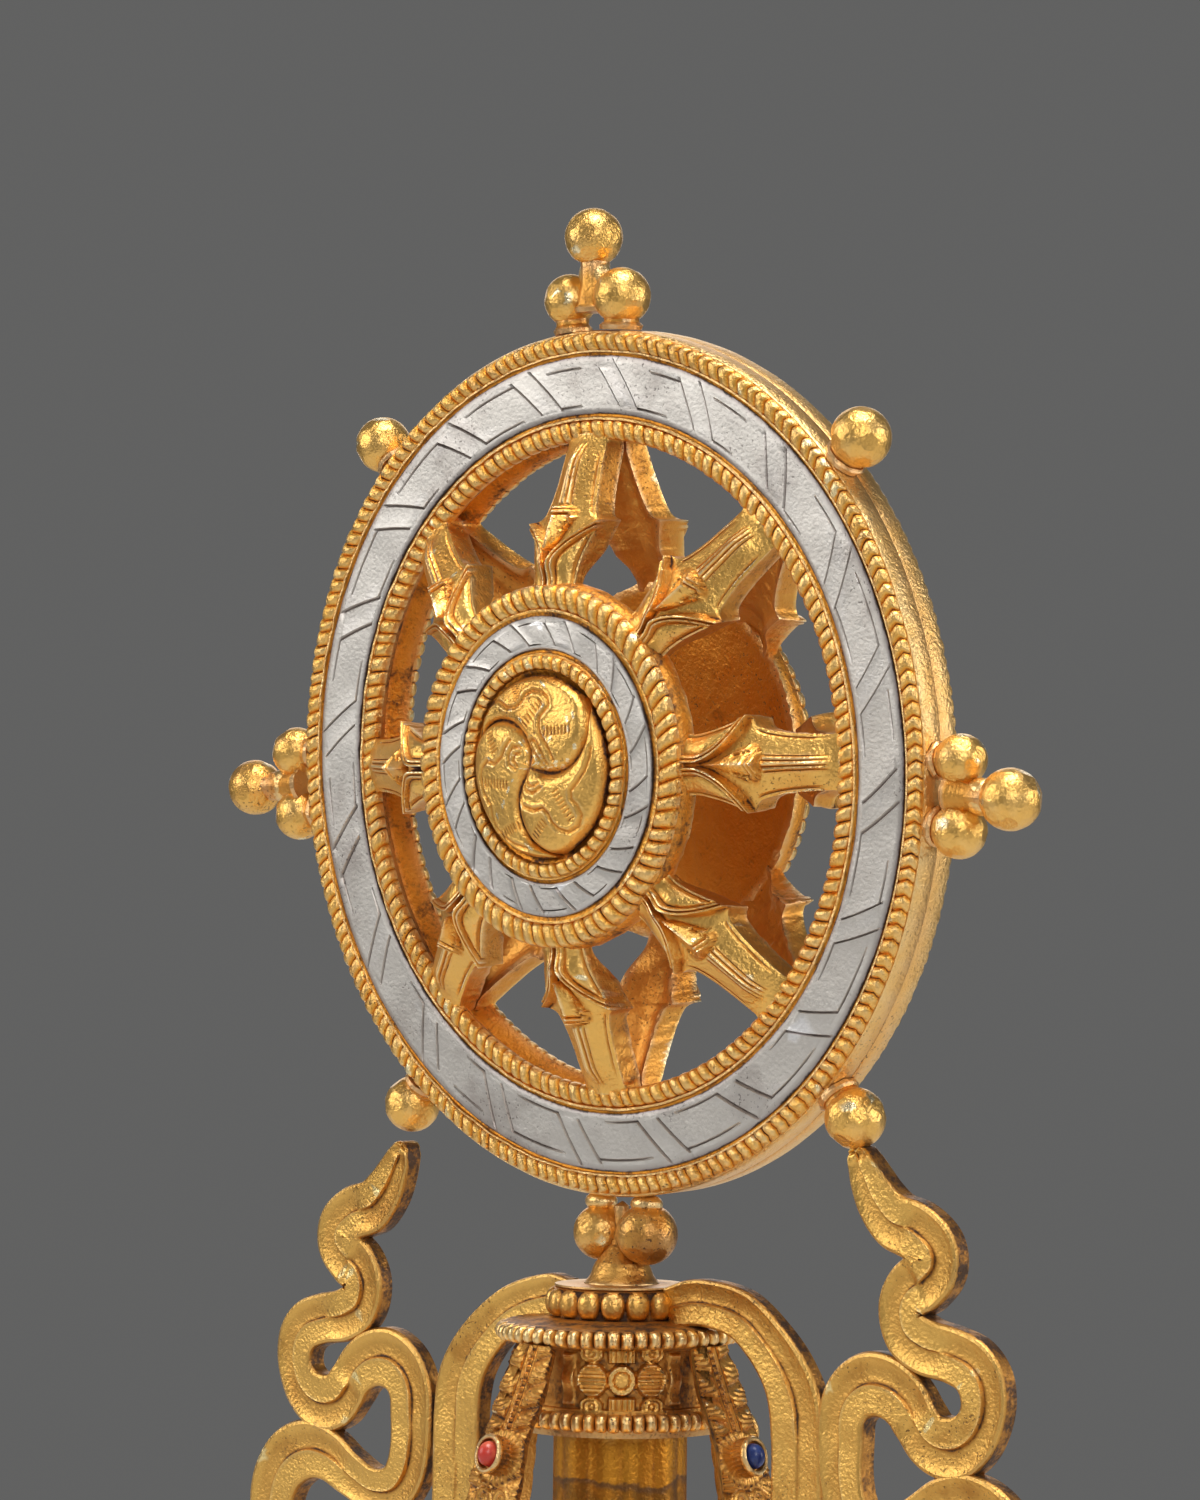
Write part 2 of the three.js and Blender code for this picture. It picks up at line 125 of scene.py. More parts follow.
class Bench:
    """A mesh in the making, in mm, with a mask of how hollow each point is; the finishes paint
    hollow parts darker, as patina and grime with painted shade.
    """

    def __init__(self) -> None:
        """Opens an empty mesh."""
        self.mesh = bmesh.new()
        self.hollow = self.mesh.verts.layers.float.new("hollow")
        self.row = self.mesh.verts.layers.float.new("row")

    @classmethod
    def turned(cls, profile: Profile, steps: int, closed: bool = False) -> "Bench":
        """Spins a profile of (radius, height) round Z.

        Args:
            profile: the points of the section; poles have radius 0.
            steps: how many steps make the full turn.
            closed: whether the section is a closed loop.

        Returns:
            The turned bench; each vertex remembers its profile row.
        """
        work = cls()
        bm = work.mesh
        points = [bm.verts.new((r, 0.0, z)) for r, z in profile]
        for index, point in enumerate(points):
            point[work.row] = index
        following = points[1:] + points[:1] if closed else points[1:]
        edges = [bm.edges.new(pair) for pair in zip(points, following)]
        bmesh.ops.spin(
            bm,
            geom=points + edges,
            cent=(0, 0, 0),
            axis=(0, 0, 1),
            dvec=(0, 0, 0),
            angle=math.tau,
            steps=steps,
            use_merge=True,
            use_duplicate=False,
        )
        bmesh.ops.remove_doubles(bm, verts=bm.verts, dist=1e-4)
        return work

    @classmethod
    def sheet(cls, along: int, across: int) -> "Bench":
        """A flat sheet of along x across cells over the unit square.

        Args:
            along: cells along X.
            across: cells along Y.

        Returns:
            The sheet.
        """
        work = cls()
        bmesh.ops.create_grid(work.mesh, x_segments=along, y_segments=across, size=0.5)
        bmesh.ops.translate(work.mesh, verts=work.mesh.verts, vec=(0.5, 0.5, 0.0))
        return work

    @classmethod
    def ball(cls, radius: float, fineness: int) -> "Bench":
        """An icosphere about the origin.

        Args:
            radius: its radius.
            fineness: how often its faces are divided.

        Returns:
            The ball.
        """
        work = cls()
        bmesh.ops.create_icosphere(work.mesh, subdivisions=fineness, radius=radius)
        return work

    def carve(self, shape: Carving) -> "Bench":
        """Moves every vertex in round coordinates.

        Args:
            shape: takes radius, turn, height and profile row, and gives the new radius,
                turn, height and hollow mask.

        Returns:
            The same bench.
        """
        for vert in self.mesh.verts:
            x, y, z = vert.co
            *place, mask = shape(math.hypot(x, y), math.atan2(y, x), z, vert[self.row])
            vert.co = straight(*place)
            vert[self.hollow] = mask
        return self

    def press(self, shape: Pressing) -> "Bench":
        """Moves every vertex in straight coordinates.

        Args:
            shape: takes x, y and z, and gives the new ones and the hollow mask.

        Returns:
            The same bench.
        """
        for vert in self.mesh.verts:
            *place, mask = shape(*vert.co)
            vert.co = place
            vert[self.hollow] = mask
        return self

    def moved(self, matrix: Matrix) -> "Bench":
        """Transforms the mesh, turning its faces back if the matrix mirrors it.

        Args:
            matrix: the move.

        Returns:
            The same bench.
        """
        bmesh.ops.transform(self.mesh, matrix=matrix, verts=self.mesh.verts)
        if matrix.determinant() < 0:
            bmesh.ops.reverse_faces(self.mesh, faces=self.mesh.faces)
        return self

    def closed(self) -> "Bench":
        """Merges seams, fills open ends and turns all faces outwards.

        Returns:
            The same bench.
        """
        bm = self.mesh
        bmesh.ops.remove_doubles(bm, verts=bm.verts, dist=2e-3)
        bmesh.ops.dissolve_degenerate(bm, edges=bm.edges, dist=1e-5)
        open_edges = [edge for edge in bm.edges if edge.is_boundary]
        if open_edges:
            bmesh.ops.holes_fill(bm, edges=open_edges, sides=0)
        bmesh.ops.recalc_face_normals(bm, faces=bm.faces)
        return self

    def add(self, *others: "Bench") -> "Bench":
        """Takes the meshes of other benches into this one.

        Args:
            others: the benches, which are used up.

        Returns:
            The same bench.
        """
        for other in others:
            loose = bpy.data.meshes.new("loose")
            other.mesh.to_mesh(loose)
            other.mesh.free()
            self.mesh.from_mesh(loose)
            bpy.data.meshes.remove(loose)
        return self

    def finished(
        self, name: str, finish: bpy.types.Material, metal: Metal, *nodes: str, crease: float = 40
    ) -> bpy.types.Object:
        """Makes the object in metres and ties it to the frame.

        Args:
            name: the piece's name.
            finish: its material.
            metal: the record's slot; not used.
            nodes: the CAD nodes it stands for.
            crease: edges sharper than this many degrees stay sharp.

        Returns:
            The finished piece.
        """
        bmesh.ops.scale(self.mesh, vec=(MM, MM, MM), verts=self.mesh.verts)
        for face in self.mesh.faces:
            face.smooth = True
        mesh = bpy.data.meshes.new(name)
        self.mesh.to_mesh(mesh)
        self.mesh.free()
        mesh.set_sharp_from_angle(angle=math.radians(crease))
        mesh.materials.append(finish)
        piece = bpy.data.objects.new(name, mesh)
        bpy.context.scene.collection.objects.link(piece)
        if nodes:
            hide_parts(*nodes)
        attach(piece, "root")
        mesh.calc_loop_triangles()
        log.info("%s: %d triangles", name, len(mesh.loop_triangles))
        return piece


# --- finishes -------------------------------------------------------------------------------


class Nodes:
    """Shorthand for wiring a node tree."""

    def __init__(self, tree: bpy.types.NodeTree) -> None:
        """Takes a tree to wire."""
        self.tree = tree

    def add(self, kind: str, **values: object) -> bpy.types.Node:
        """Adds a node and sets its plain properties.

        Args:
            kind: the node's type.
            values: its properties by name.

        Returns:
            The node.
        """
        node = self.tree.nodes.new(kind)
        for key, value in values.items():
            setattr(node, key, value)
        return node

    def link(self, source: Socket, target: Socket) -> None:
        """Joins two sockets."""
        self.tree.links.new(source, target)

    def sum(self, kind: str, a: object, b: object, clamp: bool = False) -> Socket:
        """A Math node of two inputs, each a socket or a number.

        Args:
            kind: its operation.
            a: the first input.
            b: the second input.
            clamp: whether the result is held between 0 and 1.

        Returns:
            The result.
        """
        node = self.add("ShaderNodeMath", operation=kind, use_clamp=clamp)
        for index, value in enumerate((a, b)):
            if isinstance(value, Socket):
                self.link(value, node.inputs[index])
            else:
                node.inputs[index].default_value = value
        return node.outputs[0]

    def plus(self, a: object, b: object, clamp: bool = False) -> Socket:
        """The sum of two values."""
        return self.sum("ADD", a, b, clamp)

    def minus(self, a: object, b: object) -> Socket:
        """The first value less the second."""
        return self.sum("SUBTRACT", a, b)

    def times(self, a: object, b: object, clamp: bool = False) -> Socket:
        """The product of two values."""
        return self.sum("MULTIPLY", a, b, clamp)

    def most(self, a: object, b: object) -> Socket:
        """The greater of two values."""
        return self.sum("MAXIMUM", a, b)

    def ramp(self, value: Socket, low: float, high: float) -> Socket:
        """Smooth reading from 0 at low to 1 at high.

        Args:
            value: what is read.
            low: where the reading starts.
            high: where it is full.

        Returns:
            The reading.
        """
        node = self.add("ShaderNodeMapRange", interpolation_type="SMOOTHSTEP")
        self.link(value, node.inputs["Value"])
        node.inputs["From Min"].default_value = low
        node.inputs["From Max"].default_value = high
        return node.outputs["Result"]

    def grain(self, place: Socket, scale: float, detail: float) -> Socket:
        """Noise over a place, scale in cells per metre.

        Args:
            place: the coordinates.
            scale: cells per metre.
            detail: how many finer layers are added.

        Returns:
            The noise, about 0.5.
        """
        node = self.add("ShaderNodeTexNoise")
        self.link(place, node.inputs["Vector"])
        node.inputs["Scale"].default_value = scale
        node.inputs["Detail"].default_value = detail
        return node.outputs["Fac"]

    def blend(self, mask: object, a: object, b: object) -> Socket:
        """Mixes two colours by a mask.

        Args:
            mask: 0 for the first colour, 1 for the second.
            a: the first colour.
            b: the second colour.

        Returns:
            The mixed colour.
        """
        node = self.add("ShaderNodeMix", data_type="RGBA")
        sockets = (node.inputs[0], node.inputs[6], node.inputs[7])
        for socket, value in zip(sockets, (mask, a, b)):
            if isinstance(value, Socket):
                self.link(value, socket)
            elif isinstance(value, tuple):
                socket.default_value = (*value, 1.0)
            else:
                socket.default_value = value
        return node.outputs[2]


def wear_group() -> bpy.types.NodeTree:
    """The masks that all the metals share: worn edges that also paint highlights, hollows that
    take patina with painted shade, stains and cast grain.

    Returns:
        The node group, built once.
    """
    found = bpy.data.node_groups.get("metal_wear")
    if found:
        return found
    broad_scale, middle_scale, fine_scale, spot_scale = 70, 420, 2600, 2900
    tree = bpy.data.node_groups.new("metal_wear", "ShaderNodeTree")
    for name, value in (("Edge", 1.0), ("Hollow", 1.0), ("Stain", 0.5), ("Seed", 0.0)):
        socket = tree.interface.new_socket(name, in_out="INPUT", socket_type="NodeSocketFloat")
        socket.default_value = value
    for name in ("Rubbed", "Deep", "Stained", "Speck", "Grain", "Height"):
        tree.interface.new_socket(name, in_out="OUTPUT", socket_type="NodeSocketFloat")
    n = Nodes(tree)
    given = n.add("NodeGroupInput").outputs
    out = n.add("NodeGroupOutput").inputs
    place = n.add("ShaderNodeTexCoord").outputs["Object"]
    shifted = n.add("ShaderNodeVectorMath", operation="ADD")
    n.link(place, shifted.inputs[0])
    n.link(given["Seed"], shifted.inputs[1])
    place = shifted.outputs[0]
    curve = n.add("ShaderNodeNewGeometry").outputs["Pointiness"]
    carved = n.add("ShaderNodeAttribute", attribute_name="hollow").outputs["Fac"]
    broad = n.grain(place, broad_scale, 5)
    middle = n.grain(place, middle_scale, 6)
    fine = n.grain(place, fine_scale, 8)
    ragged = n.times(n.minus(middle, 0.5), 0.05)
    bent = n.plus(curve, ragged)
    # Painted highlight: convex edges, found by pointiness, are marked as worn gilding that also
    # stands for highlights.
    rubbed = n.times(n.ramp(bent, 0.51, 0.6), given["Edge"], clamp=True)
    # Painted shade: concave places, found by pointiness, and the carved hollows are marked as
    # patina with painted shade, like ambient occlusion.
    sunk = n.ramp(bent, 0.49, 0.42)
    soft = n.times(carved, n.plus(n.times(middle, 0.8), 0.6))
    deep = n.times(n.most(sunk, soft), given["Hollow"], clamp=True)
    patch = n.ramp(n.plus(n.times(broad, 0.7), n.times(middle, 0.3)), 0.5, 0.68)
    stained = n.times(patch, given["Stain"], clamp=True)
    small = n.grain(place, spot_scale, 3)
    spots = n.times(n.ramp(small, 0.61, 0.68), n.ramp(broad, 0.46, 0.62))
    speck = n.times(spots, n.plus(n.times(given["Stain"], 1.3), 0.15), clamp=True)
    height = n.plus(n.times(middle, 0.5), n.times(fine, 0.5))
    for name, socket in (
        ("Rubbed", rubbed),
        ("Deep", deep),
        ("Stained", stained),
        ("Speck", speck),
        ("Grain", fine),
        ("Height", n.minus(height, n.times(speck, 0.35))),
    ):
        n.link(socket, out[name])
    return tree


@dataclass(frozen=True)
class Finish:
    """A surface with a name; each kind wires its own nodes."""

    name: str

    def wire(self, n: Nodes, shader: bpy.types.Node) -> None:
        """Wires the nodes up to the shader; each kind has its own way.

        Args:
            n: the material's tree.
            shader: its surface shader.
        """
        raise NotImplementedError

    def make(self) -> bpy.types.Material:
        """The material, made once.

        Returns:
            The material.
        """
        found = bpy.data.materials.get(self.name)
        if found:
            return found
        material = bpy.data.materials.new(self.name)
        material.use_nodes = True
        self.wire(Nodes(material.node_tree), material.node_tree.nodes["Principled BSDF"])
        return material

    @staticmethod
    def dent(
        n: Nodes, shader: bpy.types.Node, height: Socket, strength: float, deep: float
    ) -> None:
        """Adds a bump.

        Args:
            n: the material's tree.
            shader: its surface shader.
            height: what the bump follows.
            strength: its strength.
            deep: its depth in metres.
        """
        bump = n.add("ShaderNodeBump")
        bump.inputs["Strength"].default_value = strength
        bump.inputs["Distance"].default_value = deep
        n.link(height, bump.inputs["Height"])
        n.link(bump.outputs["Normal"], shader.inputs["Normal"])


@dataclass(frozen=True)
class MetalFinish(Finish):
    """An old metal surface.

    Its own colour; a deep one for stains and for hollows, where it is patina with painted shade;
    a near-black one for grime that also paints shade in the deepest hollows; and a pale one for
    worn edges that also paints highlights. The tide is the height
    in metres of a stain line, or 0 where there is none.
    """

    colour: Point
    deep: Point
    dirt: Point
    bright: Point
    roughness: float = 0.35
    deep_roughness: float = 0.55
    edge: float = 1.0
    hollow: float = 1.0
    stain: float = 0.5
    bump: float = 0.6
    seed: float = 0.0
    tide: float = 0.0

    def wire(self, n: Nodes, shader: bpy.types.Node) -> None:
        """Wires the worn metal.

        Args:
            n: the material's tree.
            shader: its surface shader.
        """
        wear = n.add("ShaderNodeGroup", node_tree=wear_group())
        for name, value in (
            ("Edge", self.edge),
            ("Hollow", self.hollow),
            ("Stain", self.stain),
            ("Seed", self.seed),
        ):
            wear.inputs[name].default_value = value
        colour = n.blend(wear.outputs["Stained"], self.colour, self.deep)
        # Painted highlight: the worn convex edges take the pale colour, which also stands for
        # highlights.
        colour = n.blend(wear.outputs["Rubbed"], colour, self.bright)
        # Painted shade: hollows and cavities take the deep colour, as patina with painted shade.
        colour = n.blend(wear.outputs["Deep"], colour, self.deep)
        # Painted shade: the deepest hollows take the near-black grime colour and become less
        # metallic, as grime with painted shade; specks and the tide's rim add real grime.
        dark = n.ramp(n.times(wear.outputs["Deep"], wear.outputs["Height"]), 0.32, 0.56)
        dark = n.most(dark, n.times(wear.outputs["Speck"], 0.85))
        if self.tide > 0:
            place = n.add("ShaderNodeTexCoord").outputs["Object"]
            level = n.add("ShaderNodeSeparateXYZ")
            n.link(place, level.inputs[0])
            ragged = n.times(n.minus(n.grain(place, 260, 4), 0.5), 0.004)
            under = n.minus(self.tide, n.plus(level.outputs["Z"], ragged))
            rim = n.times(n.ramp(under, 0.0, 0.0003), n.ramp(under, 0.0012, 0.0004))
            brown = n.blend(n.ramp(n.grain(place, 500, 5), 0.4, 0.6), self.deep, self.dirt)
            colour = n.blend(n.times(n.ramp(under, 0.0, 0.0004), 0.55), colour, brown)
            dark = n.most(dark, n.times(rim, 0.6))
        colour = n.blend(dark, colour, self.dirt)
        n.link(colour, shader.inputs["Base Color"])
        base = n.plus(n.times(wear.outputs["Grain"], 0.16), self.roughness - 0.08)
        worn = n.times(wear.outputs["Rubbed"], -0.08)
        sunk = n.times(wear.outputs["Deep"], self.deep_roughness - self.roughness)
        n.link(n.plus(n.plus(base, worn), sunk, clamp=True), shader.inputs["Roughness"])
        n.link(n.minus(1.0, n.times(dark, 0.5)), shader.inputs["Metallic"])
        self.dent(n, shader, wear.outputs["Height"], self.bump, 0.0004)


@dataclass(frozen=True)
class StoneFinish(Finish):
    """A polished stone: its body colour and its veins."""

    colour: Point
    vein: Point
    scale: float = 500.0
    roughness: float = 0.3

    def wire(self, n: Nodes, shader: bpy.types.Node) -> None:
        """Wires the stone.

        Args:
            n: the material's tree.
            shader: its surface shader.
        """
        place = n.add("ShaderNodeTexCoord").outputs["Object"]
        cloud = n.grain(place, self.scale, 6)
        speck = n.grain(place, self.scale * 6, 3)
        colour = n.blend(n.ramp(cloud, 0.45, 0.7), self.colour, self.vein)
        n.link(colour, shader.inputs["Base Color"])
        n.link(n.plus(n.times(speck, 0.25), self.roughness - 0.1), shader.inputs["Roughness"])
        self.dent(n, shader, speck, 0.15, 0.0002)


# For each metal: its own colour; a deep colour for stains and for hollows, where it is patina with
# painted shade; a near-black grime colour that also paints shade in the deepest hollows; and a
# pale worn-edge colour that also paints highlights on convex edges.
GILT = MetalFinish(
    "burnished_gilt", (0.9, 0.53, 0.14), (0.64, 0.24, 0.03), (0.08, 0.033, 0.02), (1.0, 0.84, 0.52)
)
# Painted light: the cast's deep colour is a saturated orange that stands for patina and for light
# bounced inside the casting's hollows.
CAST = MetalFinish(
    "cast_gilt",
    (0.88, 0.48, 0.1), (0.76, 0.27, 0.018), (0.085, 0.035, 0.02), (1.0, 0.82, 0.46),
    roughness=0.38,
    bump=0.85,
    seed=3.0,
)
RIBBON_GILT = MetalFinish(
    "ribbon_gilt",
    (0.84, 0.5, 0.13), (0.4, 0.16, 0.03), (0.075, 0.038, 0.02), (1.0, 0.78, 0.36),
    roughness=0.36,
    stain=0.6,
    seed=7.0,
)
COLUMN_GILT = MetalFinish(
    "column_gilt",
    (0.64, 0.29, 0.03), (0.36, 0.13, 0.02), (0.07, 0.035, 0.02), (0.9, 0.62, 0.24),
    roughness=0.28,
    stain=0.6,
    seed=9.0,
    tide=0.0722,
)
STAND_GILT = MetalFinish(
    "stand_gilt",
    (0.86, 0.48, 0.125), (0.4, 0.155, 0.03), (0.06, 0.028, 0.018), (1.0, 0.8, 0.44),
    roughness=0.36,
    stain=0.85,
    seed=13.0,
)
SEAT_GILT = MetalFinish(
    "seat_gilt",
    (0.83, 0.5, 0.12), (0.5, 0.2, 0.03), (0.08, 0.038, 0.02), (1.0, 0.77, 0.35),
    roughness=0.37,
    stain=0.6,
    seed=11.0,
)
SILVER = MetalFinish(
    "silver_sheet",
    (0.63, 0.6, 0.565), (0.22, 0.165, 0.15), (0.05, 0.038, 0.035), (0.95, 0.94, 0.95),
    roughness=0.44,
    stain=0.45,
    bump=0.2,
    seed=5.0,
)
CORAL = StoneFinish("coral_red", (0.55, 0.045, 0.03), (0.75, 0.16, 0.09))
LAPIS = StoneFinish("lapis_blue", (0.012, 0.025, 0.13), (0.05, 0.09, 0.3))


# --- the wheel ------------------------------------------------------------------------------


CLOUD_LINES: tuple[tuple[Profile, float], ...] = (
    (
        [(-7.0, 5.6), (-6.5, 6.5), (-5.3, 6.9), (-4.4, 6.5), (-3.4, 6.1), (-2.2, 6.2), (-1.3, 6.8)]
        + [(-0.8, 7.5), (0.1, 7.9), (1.4, 7.7), (2.3, 7.1), (2.6, 6.3), (2.0, 5.7), (1.5, 5.2)]
        + [(1.4, 4.4), (1.6, 3.5), (2.3, 2.6), (2.9, 1.7), (3.3, 0.8)],
        0.17,
    ),
    ([(0.0, 2.6), (0.5, 2.9), (1.1, 2.6), (1.7, 1.7), (2.4, 0.4)], 0.15),
    ([(0.3, 1.7), (0.9, 1.55), (1.75, 0.65), (2.0, 0.1)], 0.13),
    (
        [(-2.9, 2.8), (-3.6, 2.0), (-4.1, 1.1), (-5.2, 0.4), (-6.5, 0.7), (-7.5, 0.0)]
        + [(-7.8, -1.2), (-7.3, -2.7), (-6.3, -4.0), (-6.3, -5.2), (-5.8, -6.3), (-4.9, -7.2)]
        + [(-3.3, -8.0), (-1.5, -8.3)],
        0.17,
    ),
    ([(-1.4, 2.0), (-2.4, 2.2), (-3.0, 1.3), (-2.8, 0.3), (-2.0, -0.2)], 0.15),
    ([(-1.4, 1.5), (-2.0, 1.4), (-2.3, 0.7), (-1.7, 0.1)], 0.13),
    (
        [(-1.6, -3.3), (-1.2, -4.0), (0.4, -4.4), (1.7, -4.2), (2.4, -4.8), (2.8, -5.7)]
        + [(3.6, -6.4), (4.8, -6.7), (6.0, -6.1), (6.6, -4.9), (6.2, -3.9), (5.6, -3.3)]
        + [(5.6, -2.4), (6.5, -1.5), (7.4, -0.4), (8.0, 1.0), (8.1, 2.0)],
        0.17,
    ),
    ([(-1.1, -1.8), (-0.5, -2.4), (0.5, -2.6), (1.6, -2.0)], 0.15),
    ([(-0.6, -1.4), (-0.1, -1.9), (0.8, -1.9), (1.3, -1.6)], 0.13),
)
CLOUD_TICKS: tuple[tuple[float, float, float, float, int], ...] = (
    (-2.9, 8.5, -1.9, 7.0, 6), (-0.6, 4.4, 1.4, 6.7, 7), (2.3, 3.6, 5.6, 3.9, 8),
    (-6.2, 3.5, -5.2, 1.7, 6), (-7.4, -1.5, -3.4, -1.8, 9), (-5.1, -7.1, -2.5, -6.0, 8),
    (3.6, -2.4, 5.3, -5.3, 8), (0.1, -7.1, 1.7, -5.6, 6),
)


def away(x: float, y: float, points: Profile) -> float:
    """Distance from a place to a line of points.

    Args:
        x: place to the right of the boss's middle, mm.
        y: place above it, mm.
        points: the line.

    Returns:
        The distance in mm, held at 2 where the line is far off.
    """
    best = 4.0
    for (x0, y0), (x1, y1) in zip(points, points[1:]):
        if abs(x - x0) > 3.2 or abs(y - y0) > 3.2:
            continue
        dx, dy = x1 - x0, y1 - y0
        part = min(max(((x - x0) * dx + (y - y0) * dy) / (dx * dx + dy * dy), 0.0), 1.0)
        best = min(best, (x - x0 - dx * part) ** 2 + (y - y0 - dy * part) ** 2)
    return math.sqrt(best)


def engraved(x: float, y: float) -> tuple[float, float, float]:
    """The cloud lines of the boss at a place on its face.

    Args:
        x: place to the right of the boss's middle, mm.
        y: place above it, mm.

    Returns:
        Masks of the cut line, of the raised band beside it and of the tick marks.
    """
    cut = lift = tick = 0.0
    for points, width in CLOUD_LINES:
        far = away(x, y, points)
        if far < 1.0:
            cut = max(cut, line(far, 0.0, width))
            lift = max(lift, line(far, 0.42, 0.17))
    for x0, y0, x1, y1, count in CLOUD_TICKS:
        dx, dy = x1 - x0, y1 - y0
        length = math.hypot(dx, dy)
        run = ((x - x0) * dx + (y - y0) * dy) / length
        off = ((x - x0) * dy - (y - y0) * dx) / length
        if -0.1 < run < length + 0.1 and abs(off) < 0.6:
            phase = abs((run / length * (count - 1) + 0.5) % 1.0 - 0.5) * length / (count - 1)
            tick = max(tick, line(phase, 0.0, 0.1) * (1.0 - step(0.4, 0.6, abs(off))))
    return cut, lift, tick


@dataclass
class Wheel:
    """The lens-shaped wheel: two castings with ropes, silver rings, spokes and bosses."""

    height: float = 146.0
    radius: float = 45.0
    lean: float = math.radians(3.0)
    set_back: float = 0.6
    spokes: int = 8
    rim_beads: int = 184
    rim_inner_beads: int = 146
    hub_beads: int = 70
    boss_beads: int = 50
    boss_radius: float = 9.45

    def place(self, side: Side) -> Matrix:
        """Stands work that lies on the bench (X right, Y up, Z outwards) on the stand.

        Args:
            side: which face it is for.

        Returns:
            The move.
        """
        foot = self.height - self.radius
        origin = Vector(
            (
                0.0,
                self.set_back - math.sin(self.lean) * self.radius,
                foot + math.cos(self.lean) * self.radius,
            )
        )
        stand = Matrix.Rotation(math.radians(90), 4, "X")
        turn = Matrix.Diagonal((1.0, side.value, 1.0, 1.0))
        return Matrix.Translation(origin) @ Matrix.Rotation(self.lean, 4, "X") @ turn @ stand

    def rope(
        self,
        middle: float,
        half: float,
        base: float,
        rise: float,
        beads: int,
        slant: float,
        seed: int,
        fold: float = 2.0,
    ) -> Bench:
        """A twisted rope laid round the wheel.

        Args:
            middle: radius of the rope's middle line.
            half: half its width.
            base: depth of its underside.
            rise: height of its crown above that.
            beads: number of twists in the full turn.
            slant: how far a twist leans along the rope, in mm, from edge to edge.
            seed: seed of the hand-made unevenness.
            fold: place across the rope, -1 to 1, past which a twist leans back.

        Returns:
            The rope as a closed ring.
        """
        rng = random.Random(seed)
        per = 6
        offsets = [rng.uniform(-0.13, 0.13) for _ in range(beads)]
        levels = [rng.uniform(-0.07, 0.05) for _ in range(beads)]
        arc = [math.pi * k / 10 for k in range(11)]
        profile = [
            (
                middle + half * math.copysign(abs(math.cos(a)) ** 0.72, math.cos(a)),
                base + rise * abs(math.sin(a)) ** 0.72,
            )
            for a in arc
        ]
        profile += [(middle - half * 0.6, base - 0.5), (middle + half * 0.6, base - 0.5)]

        def shape(radius: float, turn: float, height: float, row: float) -> Masked:
            """Twists the strands."""
            bead, slot = cell(turn, beads, per)
            part = slot / per
            here = bead + offsets[bead]
            following = bead + 1 + offsets[(bead + 1) % beads]
            across = (radius - middle) / half
            lean = across if across < fold else fold - 1.6 * (across - fold)
            angle = (here + (following - here) * part) / beads * math.tau
            angle += slant * lean / (2 * middle)
            pillow = math.sin(math.pi * part) ** 0.42 if part else 0.0
            swell = 1.0 - 0.42 * (1.0 - pillow) + levels[bead] * pillow
            if row > 10:
                return radius, angle, height, 1.0
            # The grooves between twists are painted darker, as grime with painted shade.
            return (
                middle + (radius - middle) * (0.72 + 0.28 * swell),
                angle,
                base + (height - base) * swell,
                1.0 - step(0.0, 0.8, pillow),
            )

        return Bench.turned(profile, beads * per, closed=True).carve(shape).closed()

    def rim(self, seed: int) -> Bench:
        """The rim's band with its silver seat and both ropes.

        Args:
            seed: seed of its unevenness.

        Returns:
            The band and its ropes.
        """
        profile = [
            (35.2, 0.02), (44.96, 0.02), (45.0, 0.08), (45.0, 2.15), (44.85, 2.4), (44.0, 2.35),
            (42.95, 2.3), (42.88, 2.75), (42.7, 2.75), (42.6, 2.5), (42.25, 2.42), (42.2, 1.5),
            (36.5, 1.5), (36.45, 2.42), (36.1, 2.5), (35.98, 2.75), (35.75, 2.75), (35.6, 2.3),
            (34.3, 2.3), (33.75, 2.0), (34.0, 1.2), (34.9, 0.5),
        ]

        def shape(radius: float, turn: float, height: float, row: float) -> Masked:
            """Roughens the rim's steps."""
            place = straight(radius, turn, height)
            wave = rough(place, 1.6, seed) * 0.12
            if radius > 44.8:
                dent = min(rough(place, 5.0, seed), 0.0) * 0.08
                return radius + dent, turn, height, 0.3 if row < 3 else 0.1
            if row in (7, 8, 15, 16):
                return radius + wave * 0.6, turn, height + wave, 0.15
            return radius + wave * 0.6, turn, height, 0.7

        band = Bench.turned(profile, 480, closed=True).carve(shape).closed()
        outer = self.rope(43.78, 0.98, 2.15, 1.05, self.rim_beads, 0.85, seed + 1, fold=0.5)
        inner = self.rope(34.65, 1.05, 2.05, 1.15, self.rim_inner_beads, 0.7, seed + 2)
        return band.add(outer, inner)

    def hub(self, seed: int) -> Bench:
        """The hub's plate with its silver seat, the boss's seat and both ropes.

        Args:
            seed: seed of its unevenness.

        Returns:
            The plate and its ropes.
        """
        profile = [
            (0.0, 8.5), (6.0, 8.45), (10.5, 8.35), (14.0, 8.2), (16.4, 7.95), (17.6, 7.6),
            (18.2, 7.35), (18.85, 7.4), (19.0, 7.9), (18.98, 8.5), (18.9, 9.1), (18.5, 9.5),
            (17.6, 9.8), (16.4, 9.8), (16.2, 10.3), (15.95, 10.3), (15.85, 10.25), (15.42, 10.2),
            (15.4, 9.3), (12.15, 9.3), (12.1, 10.2), (11.74, 10.3), (11.66, 10.5), (11.4, 10.5),
            (10.6, 10.4), (10.0, 10.4), (9.7, 10.2), (9.3, 10.0), (0.0, 10.0),
        ]

